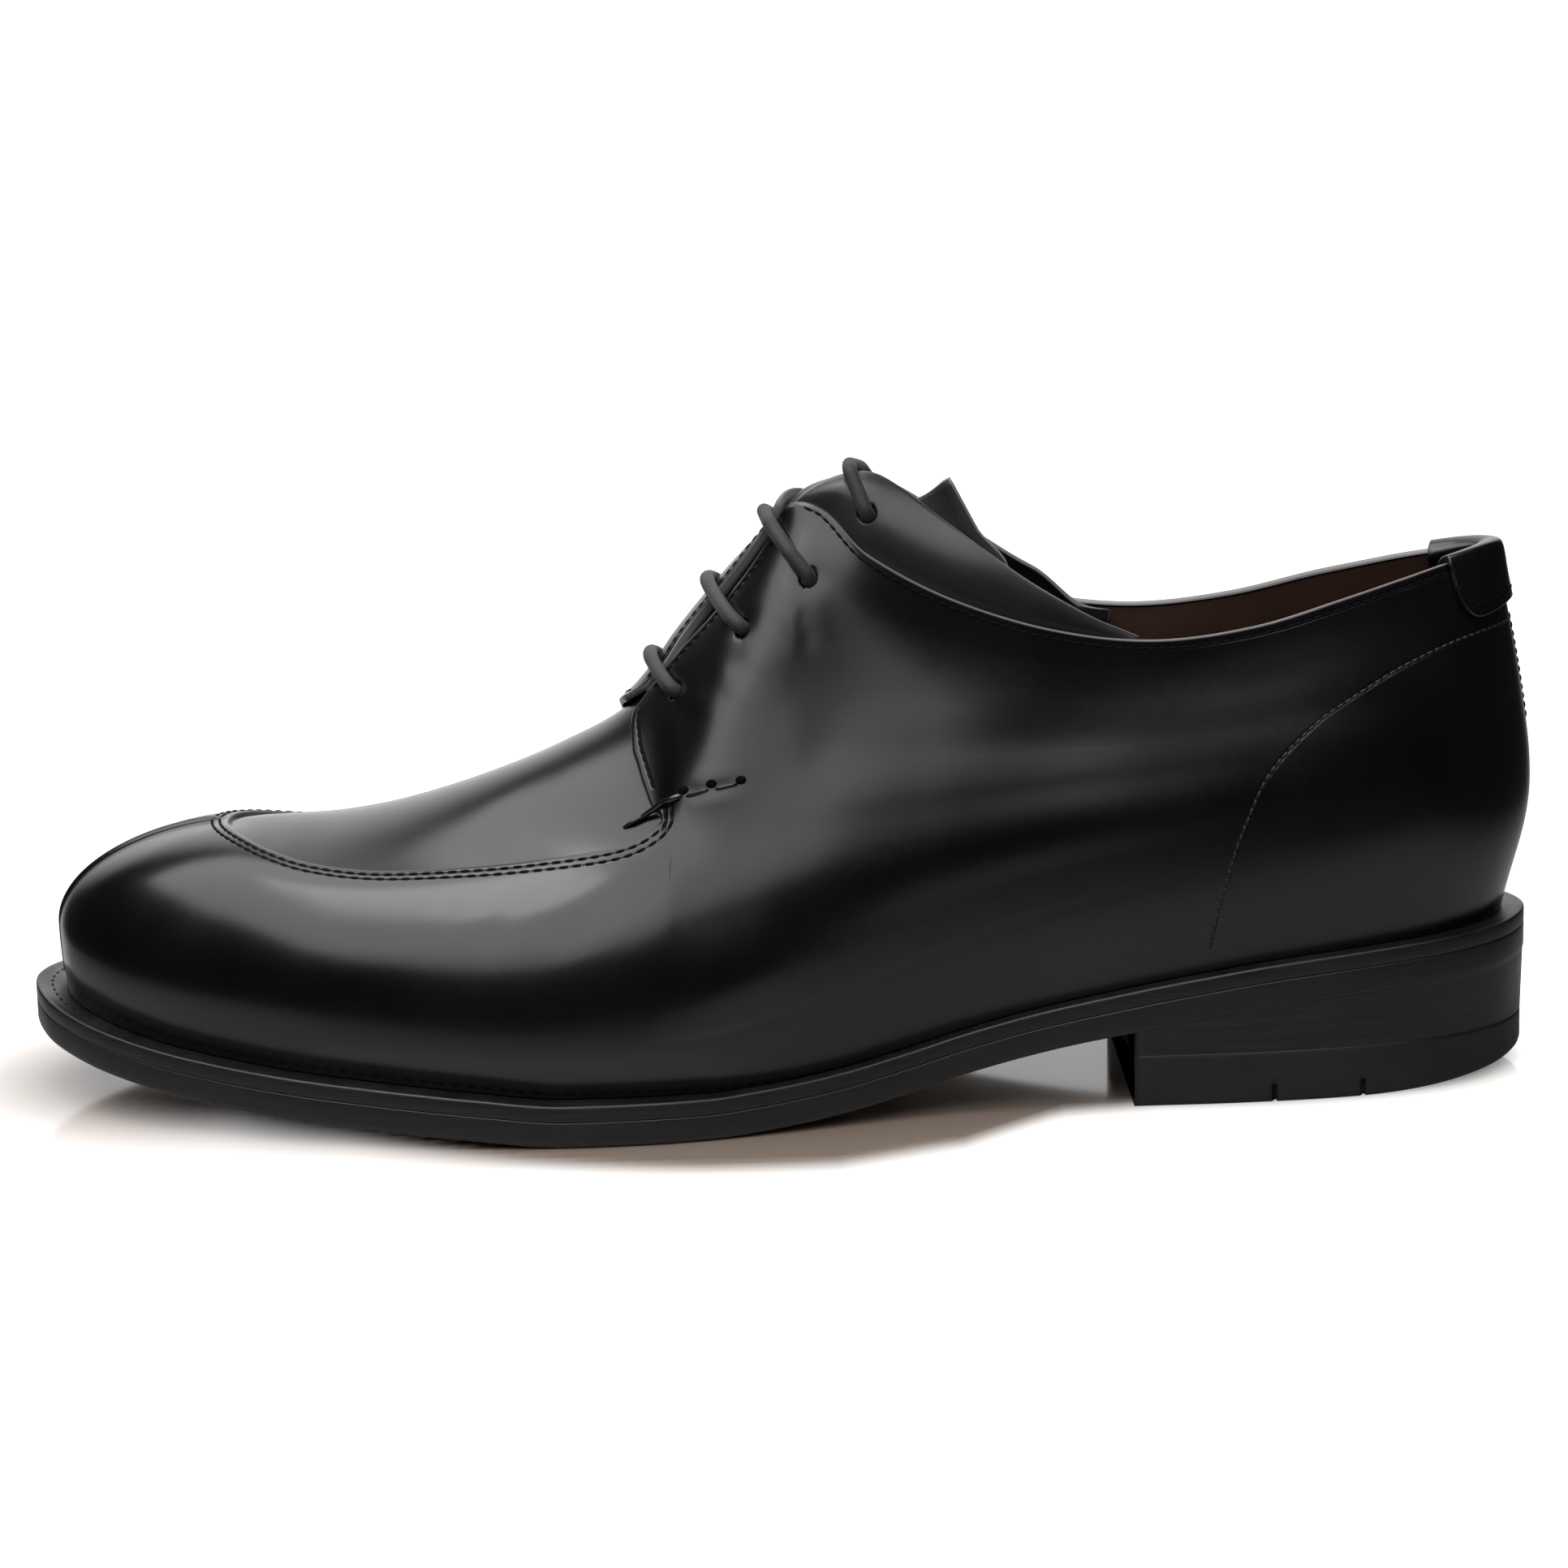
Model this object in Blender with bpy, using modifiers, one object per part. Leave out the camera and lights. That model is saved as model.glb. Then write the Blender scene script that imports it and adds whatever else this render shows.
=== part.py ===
import bpy
import bmesh
import math
from mathutils import Vector
from mathutils.bvhtree import BVHTree

# Lengths in the tables are millimetres, the scene is metres.
MM = 0.001
# Centre of the shoe's own box, so the finished part stands with its box over the origin.
SHIFT_X = -0.5
SHIFT_Y = 2.7

OUTSOLE = 5.0
WELT = 3.2
GAP = 0.3
WELT_WIDTH = 10.4
WALL = 2.4
APRON_STEP = 1.0
TOE_RIDGE = 0.9
LIFT_HEIGHT = 10.0
INSOLE_LIP = 2.0
BAND_THICK = 1.4
BAND_CLEAR = 0.9
TONGUE_THICK = 1.8
TAB_THICK = 1.2
LACE_RADIUS = 1.5
LACE_CLEAR = 0.35
EYELET_RADIUS = 2.0
QUARTER_RIB = 12.0
BREAST_ROW = 6.0
LAT = -1
MED = 1
# Direction the instep faces.
INSTEP = Vector((-0.77, 0.0, 0.638))

# Underside of the outsole along the shoe: x from the toe (negative) to the heel, height of the underside.
PROFILE = (
    (-154.0, 13.5), (-136.0, 9.65), (-118.0, 6.8), (-100.0, 4.9), (-80.0, 3.1), (-60.0, 1.5),
    (-42.0, 0.0), (-15.0, 0.0), (-3.0, 0.8), (10.0, 2.3), (25.0, 5.2), (36.0, 8.0), (48.0, 10.8),
    (62.0, 13.7), (80.0, 17.0), (100.0, 19.9), (125.0, 22.0), (154.0, 23.4),
)

# Edge of sole and welt, a row per station from heel to toe: x, lateral y, medial y.
EDGE = (
    (153.2, -0.5, -0.5),
    (150.5, -11.0, 10.0),
    (143.5, -20.5, 18.5),
    (131.0, -28.5, 25.0),
    (113.0, -33.5, 28.5),
    (92.0, -35.8, 29.3),
    (70.0, -36.3, 28.3),
    (50.0, -36.6, 26.8),
    (30.0, -39.5, 26.5),
    (12.0, -44.8, 29.0),
    (-5.0, -49.8, 34.0),
    (-22.0, -53.6, 40.0),
    (-40.0, -55.0, 45.5),
    (-60.0, -54.1, 49.0),
    (-80.0, -50.2, 49.6),
    (-98.0, -45.4, 48.6),
    (-114.0, -38.6, 46.2),
    (-128.0, -31.0, 42.2),
    (-140.0, -21.2, 35.6),
    (-149.2, -8.0, 25.6),
    (-153.2, 9.0, 9.0),
)

# Upper, a row per rib from heel to toe.
# foot: place on the edge table and distance in from the edge where the rib leaves the welt.
# belly: place, distance in and height of the widest point.
RIB_LOW = (
    # foot place, foot in, belly place, belly in, belly z
    (0.00, 4.6, 0.00, -1.0, 58.5),
    (1.25, 4.4, 1.20, -0.5, 58.0),
    (2.45, 4.2, 2.40, 0.1, 57.0),
    (3.65, 4.0, 3.60, 0.9, 55.0),
    (4.70, 3.9, 4.70, 1.5, 52.0),
    (5.77, 3.8, 5.80, 1.7, 47.0),
    (6.90, 3.6, 7.00, 1.3, 41.0),
    (7.90, 3.6, 8.05, 0.9, 34.0),
    (8.90, 3.9, 9.10, 1.3, 28.0),
    (9.45, 4.2, 9.70, 1.9, 25.0),
    (10.00, 4.5, 10.25, 2.3, 22.5),
    (10.60, 4.7, 10.80, 2.7, 21.0),
    (11.20, 4.9, 11.40, 3.0, 20.5),
    (12.20, 5.1, 12.40, 3.3, 20.5),
    (13.10, 5.2, 13.30, 3.5, 21.0),
    (14.00, 5.3, 14.20, 3.6, 22.5),
    (14.90, 5.4, 15.10, 3.7, 24.5),
    (15.90, 5.5, 16.05, 3.8, 26.5),
    (17.00, 5.7, 17.10, 4.1, 29.0),
    (18.40, 6.0, 18.40, 4.8, 31.5),
    (20.00, 6.4, 20.00, 5.8, 33.0),
)

# shoulder: the edge of the apron in front, a point on the quarter behind it.
# rise: how steeply the rib passes it. full: how far the side bulges below it.
RIB_SHOULDER = (
    # x, lateral y, medial y, z, rise, medial drop, full
    (152.0, 0.0, 0.0, 79.0, 1.0, 0.0, 1.0),
    (147.0, -12.3, 11.3, 79.0, 1.0, 0.0, 1.0),
    (136.5, -21.5, 18.5, 79.0, 1.0, 0.0, 1.0),
    (118.0, -28.0, 23.0, 78.0, 1.0, 0.0, 1.0),
    (97.0, -30.8, 24.5, 75.5, 1.0, 0.0, 1.0),
    (74.0, -31.5, 25.0, 73.5, 1.0, 0.0, 1.0),
    (51.0, -32.0, 26.0, 72.5, 1.0, 0.0, 1.0),
    (31.0, -33.5, 27.0, 72.0, 1.0, 0.0, 1.0),
    (12.0, -35.5, 28.5, 71.5, 1.0, 0.0, 1.0),
    (1.0, -36.5, 30.0, 70.0, 1.0, 0.0, 1.0),
    (-9.0, -37.0, 31.0, 67.5, 1.0, 0.0, 1.0),
    (-18.0, -36.5, 32.0, 63.5, 0.95, 0.0, 1.0),
    (-25.6, -37.0, 33.5, 56.6, 0.8, 0.0, 1.0),
    (-47.0, -33.5, 33.5, 52.8, 0.6, 0.3, 1.0),
    (-64.0, -31.5, 33.0, 51.2, 0.5, 0.8, 1.0),
    (-80.0, -28.5, 32.0, 50.4, 0.45, 1.2, 1.0),
    (-92.5, -24.0, 30.0, 51.2, 0.4, 1.5, 1.0),
    (-101.0, -18.3, 26.0, 52.8, 0.3, 1.6, 0.97),
    (-107.0, -11.3, 20.5, 54.2, 0.2, 1.4, 0.90),
    (-110.8, -3.4, 14.0, 54.8, 0.15, 0.8, 0.83),
    (-112.3, 6.0, 6.0, 54.5, 0.12, 0.0, 0.80),
)

# top: collar, then facing edge, then the middle of the apron.
# across: 1 where the rib ends level across the foot. lean: climb towards the medial side there.
RIB_TOP = (
    # x, lateral y, medial y, z, across, lean, medial lift
    (147.0, 0.0, 0.0, 105.3, 0.0, 0.0, 0.0),
    (142.3, -6.8, 6.2, 104.8, 0.0, 0.0, 0.0),
    (131.0, -13.0, 11.0, 102.6, 0.0, 0.0, 0.0),
    (114.0, -19.3, 15.0, 98.6, 0.0, 0.0, 0.0),
    (95.0, -23.2, 18.0, 93.9, 0.0, 0.0, 0.0),
    (75.0, -25.0, 19.5, 92.0, 0.0, 0.0, 0.0),
    (55.0, -24.8, 19.5, 94.6, 0.0, 0.0, 0.0),
    (35.5, -22.0, 17.5, 100.8, 0.0, 0.0, 0.0),
    (18.5, -16.5, 13.0, 109.4, 0.2, 0.0, 0.0),
    (5.8, -10.0, -2.0, 118.2, 0.7, 0.2, 0.8),
    (-4.6, -8.8, -6.4, 107.2, 1.0, 0.3, 1.3),
    (-15.8, -7.6, -5.2, 93.8, 1.0, 0.3, 1.3),
    (-27.2, -7.4, -5.0, 79.3, 1.0, 0.25, 1.2),
    (-43.0, 1.0, 1.0, 70.4, 1.0, 0.0, 0.0),
    (-59.0, 1.5, 1.5, 64.0, 1.0, 0.0, 0.0),
    (-75.0, 3.0, 3.0, 59.0, 1.0, 0.0, 0.0),
    (-88.0, 4.0, 4.0, 56.5, 1.0, 0.0, 0.0),
    (-98.0, 4.8, 4.8, 55.9, 1.0, 0.0, 0.0),
    (-105.0, 5.4, 5.4, 55.6, 1.0, 0.0, 0.0),
    (-109.3, 5.8, 5.8, 55.1, 1.0, 0.0, 0.0),
    (-111.5, 6.0, 6.0, 54.6, 1.0, 0.0, 0.0),
)

# Collar band: rib, where its lower edge starts on that rib, its top edge x, lateral y, medial y, z, medial drop.
BAND = (
    (9.60, 2.84, 2.6, -7.0, -4.6, 115.5, 1.3),
    (9.30, 2.84, 6.5, -7.6, -3.2, 119.5, 1.2),
    (9.05, 2.83, 11.0, -9.2, -0.8, 122.6, 1.5),
    (8.80, 2.82, 16.0, -11.8, 3.0, 124.6, 2.0),
    (8.50, 2.80, 21.0, -13.4, 6.4, 124.8, 2.2),
    (8.10, 2.79, 26.5, -15.2, 9.4, 121.9, 2.0),
    (7.60, 2.77, 34.0, -18.2, 12.6, 116.3, 1.6),
    (7.00, 2.74, 42.5, -21.2, 15.0, 110.0, 1.2),
    (6.40, 2.68, 52.0, -23.0, 16.6, 103.2, 0.8),
    (5.80, 2.61, 63.0, -23.6, 17.6, 96.8, 0.3),
    (5.25, 2.55, 73.0, -23.2, 17.8, 92.4, 0.0),
)

# Eyelets on the facings: rib and place along it. The top pair is on the bands.
EYELETS = ((11.45, 2.74), (10.15, 2.65), (8.80, 2.71))
BAND_EYELET = (8.22, 0.72)


def clear_scene():
    for ob in list(bpy.data.objects):
        bpy.data.objects.remove(ob, do_unlink=True)


def profile_z(x):
    rows = PROFILE
    if x <= rows[0][0]:
        return rows[0][1]
    if x >= rows[-1][0]:
        return rows[-1][1]
    slopes = []
    for a, b in zip(rows, rows[1:]):
        slopes.append((b[1] - a[1]) / (b[0] - a[0]))
    ends = [slopes[0]]
    for p, q in zip(slopes, slopes[1:]):
        ends.append(0.0 if p * q <= 0 else 2 * p * q / (p + q))
    ends.append(slopes[-1])
    for i, (a, b) in enumerate(zip(rows, rows[1:])):
        if x <= b[0]:
            h = b[0] - a[0]
            t = (x - a[0]) / h
            return hermite(a[1], b[1], ends[i] * h, ends[i + 1] * h, t)
    return rows[-1][1]


def hermite(a, b, ma, mb, t):
    t2 = t * t
    t3 = t2 * t
    return a * (2 * t3 - 3 * t2 + 1) + ma * (t3 - 2 * t2 + t) + b * (3 * t2 - 2 * t3) + mb * (t3 - t2)


def spline(b, c, a, d, t):
    # Smooth step from b to c, with a before and d after.
    return [hermite(q, r, 0.5 * (r - p), 0.5 * (w - q), t) for p, q, r, w in zip(a, b, c, d)]


def table_at(rows, s):
    last = len(rows) - 1
    s = min(max(s, 0.0), float(last))
    i = min(int(s), last - 1)
    b = rows[i]
    c = rows[i + 1]
    a = rows[i - 1] if i > 0 else [2 * q - r for q, r in zip(b, c)]
    d = rows[i + 2] if i + 2 <= last else [2 * r - q for q, r in zip(b, c)]
    return spline(b, c, a, d, s - i)


def side_at(rows, s, side):
    # Rows are x, lateral y, medial y and more. Past either end the table runs on along the other side.
    last = len(rows) - 1
    i = min(int(s), last - 1)
    pick = 1 if side == LAT else 2
    own = [[row[0], row[pick]] + list(row[3:]) for row in rows]
    far = [[row[0], row[3 - pick]] + list(row[3:]) for row in rows]
    a = own[i - 1] if i > 0 else far[1]
    d = own[i + 2] if i + 2 <= last else far[last - 1]
    return spline(own[i], own[i + 1], a, d, s - i)


def edge_point(place, side):
    x, y = side_at(EDGE, min(max(place, 0.0), len(EDGE) - 1.0), side)
    return Vector((x, y, 0.0))


def edge_inset(place, side, inset):
    last = len(EDGE) - 1
    a = edge_point(max(place - 0.02, 0.0), side)
    b = edge_point(min(place + 0.02, last), side)
    along = b - a
    if place <= 0.0 or place >= last:
        along = Vector((0.0, along.y, 0.0))
    along.normalize()
    inward = Vector((along.y, -along.x, 0.0))
    if side == MED:
        inward = -inward
    return edge_point(place, side) + inward * inset


def welt_top(x):
    return profile_z(x) + OUTSOLE + GAP + WELT


def rib_marks(s, side):
    low = table_at(RIB_LOW, s)
    foot = edge_inset(low[0], side, low[1])
    foot.z = welt_top(foot.x) + GAP
    belly = edge_inset(low[2], side, low[3])
    belly.z = low[4]
    x, y, z, rise, drop, full = side_at(RIB_SHOULDER, s, side)
    shoulder = Vector((x, y, z - drop if side == MED else z))
    x, y, z, level, lean, lift = side_at(RIB_TOP, s, side)
    top = Vector((x, y, z))
    if s > QUARTER_RIB + 0.001:
        top.y = 0.5 * (y + side_at(RIB_TOP, s, -side)[1])
    elif side == MED:
        top += INSTEP * lift
    across = Vector((-0.77 * lean, 1.0, 0.64 * lean))
    if side == MED:
        across = -across
    end = (top - shoulder) * (1.0 - level) + across * (top - shoulder).length * level
    through = top - belly
    through.z *= rise
    through.normalize()
    return foot, belly, shoulder, top, through, end, full


def rib_point(s, t, side):
    foot, belly, shoulder, top, through, end, full = rib_marks(s, side)
    up = Vector((0.0, 0.0, 1.0))
    if t <= 1.0:
        reach = (belly - foot).length
        return hermite(foot, belly, (belly - foot) * 1.1, up * reach * 1.1, t)
    if t <= 2.0:
        reach = (shoulder - belly).length
        return hermite(belly, shoulder, up * reach * full, through * reach * 1.2, t - 1.0)
    reach = (top - shoulder).length
    return hermite(shoulder, top, through * reach, end, t - 2.0)


def rib_normal(s, t, side):
    ds = 0.05
    dt = 0.03
    a = rib_point(s - ds, t, side) if s > ds else rib_point(ds - s, t, -side)
    b = rib_point(s + ds, t, side) if s < 20.0 - ds else rib_point(40.0 - s - ds, t, -side)
    c = rib_point(s, max(t - dt, 0.0), side)
    d = rib_point(s, min(t + dt, 3.0), side)
    n = (b - a).cross(d - c)
    n.normalize()
    return n if side == MED else -n


def on_rib(s, t, side, out):
    return rib_point(s, t, side) + rib_normal(s, t, side) * out


def place_point(p):
    return Vector(((p.x + SHIFT_X) * MM, (p.y + SHIFT_Y) * MM, p.z * MM))


def scene_to_mm(q):
    return Vector((q.x / MM - SHIFT_X, q.y / MM - SHIFT_Y, q.z / MM))


def make_material(name, color, rough):
    mat = bpy.data.materials.new(name)
    mat.use_nodes = True
    bsdf = mat.node_tree.nodes["Principled BSDF"]
    bsdf.inputs["Base Color"].default_value = (color[0], color[1], color[2], 1.0)
    bsdf.inputs["Roughness"].default_value = rough
    return mat


def make_object(name, bm, mat, group):
    bmesh.ops.remove_doubles(bm, verts=bm.verts, dist=0.00001)
    bmesh.ops.recalc_face_normals(bm, faces=bm.faces)
    return link_mesh(name, bm, mat, group)


def link_mesh(name, bm, mat, group):
    mesh = bpy.data.meshes.new(name)
    bm.to_mesh(mesh)
    bm.free()
    mesh.materials.append(mat)
    mesh.shade_smooth()
    mesh.set_sharp_from_angle(angle=math.radians(38.0))
    ob = bpy.data.objects.new(name, mesh)
    group.objects.link(ob)
    return ob


def loft_rings(bm, rings):
    # Side walls between closed rings of equal length.
    made = []
    for ring in rings:
        made.append([bm.verts.new(place_point(p)) for p in ring])
    for low, high in zip(made, made[1:]):
        n = len(low)
        for i in range(n):
            j = (i + 1) % n
            bm.faces.new((low[i], low[j], high[j], high[i]))
    return made


def sole_places(step):
    places = []
    p = 0.0
    while p < 20.0 - 0.001:
        places.append(p)
        p += step
    places.append(20.0)
    return places


def sole_ring(inset, height, step=0.5):
    # Starts at the heel, runs up the lateral edge to the toe and back along the medial edge.
    ring = []
    places = sole_places(step)
    for p in places:
        q = edge_inset(p, LAT, inset)
        q.z = profile_z(q.x) + height
        ring.append(q)
    for p in reversed(places[1:-1]):
        q = edge_inset(p, MED, inset)
        q.z = profile_z(q.x) + height
        ring.append(q)
    return ring


def close_sole(bm, ring):
    n = len(ring)
    half = n // 2
    bm.faces.new((ring[0], ring[1], ring[n - 1]))
    for i in range(1, half - 1):
        bm.faces.new((ring[i], ring[i + 1], ring[n - i - 1], ring[n - i]))
    bm.faces.new((ring[half - 1], ring[half], ring[half + 1]))


def build_outsole(group):
    bm = bmesh.new()
    rings = [
        sole_ring(1.0, 0.0),
        sole_ring(0.25, 0.4),
        sole_ring(0.0, 1.2),
        sole_ring(0.0, OUTSOLE),
    ]
    made = loft_rings(bm, rings)
    close_sole(bm, made[0])
    close_sole(bm, made[-1])
    return make_object("outsole", bm, make_material("outsole_leather", (0.16, 0.09, 0.05), 0.5), group)


def build_welt(group):
    bm = bmesh.new()
    base = OUTSOLE + GAP
    rings = [
        sole_ring(WELT_WIDTH, base),
        sole_ring(0.0, base),
        sole_ring(0.0, base + WELT - 0.7),
        sole_ring(0.7, base + WELT),
        sole_ring(WELT_WIDTH, base + WELT),
    ]
    made = loft_rings(bm, rings)
    n = len(made[0])
    for i in range(n):
        j = (i + 1) % n
        bm.faces.new((made[-1][i], made[-1][j], made[0][j], made[0][i]))
    return make_object("welt", bm, make_material("welt_leather", (0.012, 0.011, 0.011), 0.45), group)


def build_insole(group):
    bm = bmesh.new()
    base = OUTSOLE + GAP
    lip = base + WELT + GAP
    inner = WELT_WIDTH + GAP
    places = sole_places(0.5)

    def wall_ring(height):
        ring = []
        for side in (LAT, MED):
            row = places if side == LAT else list(reversed(places[1:-1]))
            for p in row:
                low = table_at(RIB_LOW, rib_for_place(p))
                q = edge_inset(p, side, low[1] + WALL + 0.9)
                q.z = profile_z(q.x) + height
                ring.append(q)
        return ring

    rings = [
        sole_ring(inner, base),
        sole_ring(inner, lip),
        wall_ring(lip),
        wall_ring(lip + INSOLE_LIP),
    ]
    made = loft_rings(bm, rings)
    close_sole(bm, made[0])
    close_sole(bm, made[-1])
    return make_object("insole", bm, make_material("insole_leather", (0.05, 0.025, 0.018), 0.6), group)


def rib_for_place(p):
    rows = RIB_LOW
    for i in range(len(rows) - 1):
        if rows[i][0] <= p <= rows[i + 1][0]:
            return i + (p - rows[i][0]) / (rows[i + 1][0] - rows[i][0])
    return float(len(rows) - 1)


def heel_ring(inset, height, follow_sole, breast_in):
    # Lateral edge from the breast to the back, medial edge to the breast, then the hollow breast.
    places = [BREAST_ROW - 0.5 * i for i in range(int(BREAST_ROW / 0.5) + 1)]
    ring = []
    for p in places:
        ring.append(edge_inset(p, LAT, inset))
    for p in reversed(places[:-1]):
        ring.append(edge_inset(p, MED, inset))
    a = ring[-1].copy()
    b = ring[0].copy()
    for k in range(1, 6):
        t = k / 6.0
        q = a.lerp(b, t)
        q.x += breast_in * 4.0 * t * (1.0 - t)
        ring.append(q)
    for q in ring:
        q.z = profile_z(q.x) + height if follow_sole else height
    return ring


def close_heel(bm, ring, side_count):
    n = side_count
    half = n // 2
    for i in range(half - 1):
        bm.faces.new((ring[i], ring[i + 1], ring[n - 2 - i], ring[n - 1 - i]))
    bm.faces.new((ring[half - 1], ring[half], ring[half + 1]))
    bm.faces.new([ring[0], ring[n - 1]] + ring[n:])


def build_heel_stack(group):
    bm = bmesh.new()
    rings = [
        heel_ring(0.6, LIFT_HEIGHT + GAP, False, 4.0),
        heel_ring(0.25, -GAP, True, 4.0),
    ]
    made = loft_rings(bm, rings)
    side_count = len(made[0]) - 5
    close_heel(bm, made[0], side_count)
    close_heel(bm, made[1], side_count)
    return make_object("heel_stack", bm, make_material("stack_leather", (0.014, 0.012, 0.011), 0.4), group)


def lift_ring(inset, height, worn):
    # The lower edge sweeps up at the back.
    ring = heel_ring(inset, height, False, 4.0)
    for q in ring:
        f = min(max((q.x - 114.0) / 38.0, 0.0), 1.0)
        q.z += worn * f * f
    return ring


def build_top_lift(group, cutters):
    bm = bmesh.new()
    rings = [
        lift_ring(1.3, 0.0, 3.4),
        lift_ring(0.75, 0.35, 3.5),
        lift_ring(0.6, 1.1, 3.6),
        lift_ring(0.6, LIFT_HEIGHT, 0.0),
    ]
    made = loft_rings(bm, rings)
    side_count = len(made[0]) - 5
    close_heel(bm, made[0], side_count)
    close_heel(bm, made[-1], side_count)
    mat = make_material("lift_rubber", (0.016, 0.016, 0.017), 0.6)
    ob = make_object("heel_top_lift", bm, mat, group)
    for i, x in enumerate((98.0, 116.0)):
        y = edge_point(5.0 if x < 100.0 else 3.85, LAT).y
        cutter = box_cutter("notch_cutter_%d" % (i + 1), (x, y, 1.2), (1.0, 3.2, 5.2), cutters)
        cut(ob, cutter, "notch_%d" % (i + 1))
    return ob


def box_cutter(name, centre, size, cutters):
    bm = bmesh.new()
    bmesh.ops.create_cube(bm, size=1.0)
    for v in bm.verts:
        v.co = place_point(Vector([c + s * k for c, s, k in zip(centre, size, v.co)]))
    return make_cutter(name, bm, cutters)


def make_cutter(name, bm, cutters):
    bmesh.ops.recalc_face_normals(bm, faces=bm.faces)
    mesh = bpy.data.meshes.new(name)
    bm.to_mesh(mesh)
    bm.free()
    ob = bpy.data.objects.new(name, mesh)
    ob.hide_render = True
    ob.display_type = "WIRE"
    cutters.objects.link(ob)
    return ob


def cut(ob, cutter, name):
    mod = ob.modifiers.new(name, "BOOLEAN")
    mod.operation = "DIFFERENCE"
    mod.solver = "EXACT"
    mod.object = cutter


def rod_cutter(name, a, b, radius, cutters):
    bm = bmesh.new()
    axis = b - a
    bmesh.ops.create_cone(bm, cap_ends=True, segments=14, radius1=radius * MM, radius2=radius * MM,
                          depth=axis.length * MM)
    turn = Vector((0.0, 0.0, 1.0)).rotation_difference(axis.normalized()).to_matrix()
    middle = place_point((a + b) * 0.5)
    for v in bm.verts:
        v.co = turn @ v.co + middle
    return make_cutter(name, bm, cutters)


def upper_ribs():
    ribs = []
    s = 0.0
    while s < 20.0 - 0.001:
        ribs.append(s)
        s += 0.5
    ribs += [8.75, 9.25, 9.75, QUARTER_RIB + 0.035, 19.82, 20.0]
    return sorted(ribs)


UPPER_ROWS = (0.0, 0.3, 0.65, 1.0, 1.22, 1.45, 1.7, 2.0, 2.02, 2.3, 2.6, 2.8, 3.0)


def upper_step(s, t):
    if s > 19.99:
        return TOE_RIDGE if 0.2 < t < 1.9 else 0.0
    if s > QUARTER_RIB + 0.01 and t > 2.01:
        return -APRON_STEP
    return 0.0


def build_upper(group, cutters):
    bm = bmesh.new()
    ribs = upper_ribs()
    grid = {}
    inner = {}
    for side in (LAT, MED):
        for i, s in enumerate(ribs):
            for j, t in enumerate(UPPER_ROWS):
                shared = i == 0 or i == len(ribs) - 1
                if s > QUARTER_RIB + 0.01 and j == len(UPPER_ROWS) - 1:
                    shared = True
                if side == MED and shared:
                    grid[(side, i, j)] = grid[(LAT, i, j)]
                    continue
                v = bm.verts.new(place_point(on_rib(s, t, side, upper_step(s, t))))
                grid[(side, i, j)] = v
                inner[v] = bm.verts.new(place_point(on_rib(s, t, side, -WALL)))
    last = len(ribs) - 1
    for side in (LAT, MED):
        for i in range(last):
            for j in range(len(UPPER_ROWS) - 1):
                quad = [grid[(side, i, j)], grid[(side, i + 1, j)], grid[(side, i + 1, j + 1)], grid[(side, i, j + 1)]]
                if side == LAT:
                    quad.reverse()
                bm.faces.new(quad)
    skin = list(bm.faces)
    rim = [e for e in bm.edges if len(e.link_faces) == 1]
    rim_pairs = []
    for e in rim:
        loop = e.link_loops[0]
        rim_pairs.append((loop.vert, loop.link_loop_next.vert))
    for f in skin:
        bm.faces.new([inner[v] for v in reversed(f.verts)])
    for a, b in rim_pairs:
        bm.faces.new((b, a, inner[a], inner[b]))
    ob = make_object("upper", bm, make_material("upper_calf", (0.014, 0.013, 0.013), 0.35), group)
    for side in (LAT, MED):
        for k, (s, t) in enumerate(EYELETS):
            a = on_rib(s, t, side, -6.0)
            b = on_rib(s, t, side, 4.0)
            name = "eyelet_cutter_%s_%d" % ("lateral" if side == LAT else "medial", k + 1)
            cut(ob, rod_cutter(name, a, b, EYELET_RADIUS, cutters), "eyelet_%d_%d" % (side + 2, k + 1))
    return ob


def sheet(name, grid, thick, flip, mat, group):
    # An open surface through a grid of points, thickened on its back.
    bm = bmesh.new()
    rows = [[bm.verts.new(place_point(p)) for p in line] for line in grid]
    for low, high in zip(rows, rows[1:]):
        for j in range(len(low) - 1):
            quad = [low[j], high[j], high[j + 1], low[j + 1]]
            if flip:
                quad.reverse()
            bm.faces.new(quad)
    ob = link_mesh(name, bm, mat, group)
    mod = ob.modifiers.new("thickness", "SOLIDIFY")
    mod.thickness = thick * MM
    mod.offset = -1.0
    return ob


def band_point(s, u, side):
    # u runs from the lower edge, inside the quarter, to the top edge of the band.
    rows = BAND
    i = 0
    while i < len(rows) - 2 and s < rows[i + 1][0]:
        i += 1
    t = (rows[i][0] - s) / (rows[i][0] - rows[i + 1][0])
    row = table_at(rows, i + t)
    low = on_rib(row[0], row[1], side, -(WALL + BAND_CLEAR))
    y = row[3] if side == LAT else row[4]
    z = row[5] if side == LAT else row[5] - row[6]
    top = Vector((row[2], y, z))
    at_line = on_rib(row[0], 2.99, side, -(WALL + BAND_CLEAR))
    if u <= 0.4:
        return low.lerp(at_line, u / 0.4)
    bow = rib_normal(row[0], 2.95, side)
    v = (u - 0.4) / 0.6
    return at_line.lerp(top, v) + bow * 0.8 * 4.0 * v * (1.0 - v) * min(1.0, (top - at_line).length / 12.0)


def band_grid(side):
    grid = []
    for row in band_stations():
        line = []
        for u in (0.0, 0.2, 0.4, 0.6, 0.8, 1.0):
            line.append(band_point(row, u, side))
        grid.append(line)
    return grid


def band_stations():
    out = []
    for a, b in zip(BAND, BAND[1:]):
        out.append(a[0])
        out.append(0.5 * (a[0] + b[0]))
    out.append(BAND[-1][0])
    return out


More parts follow.
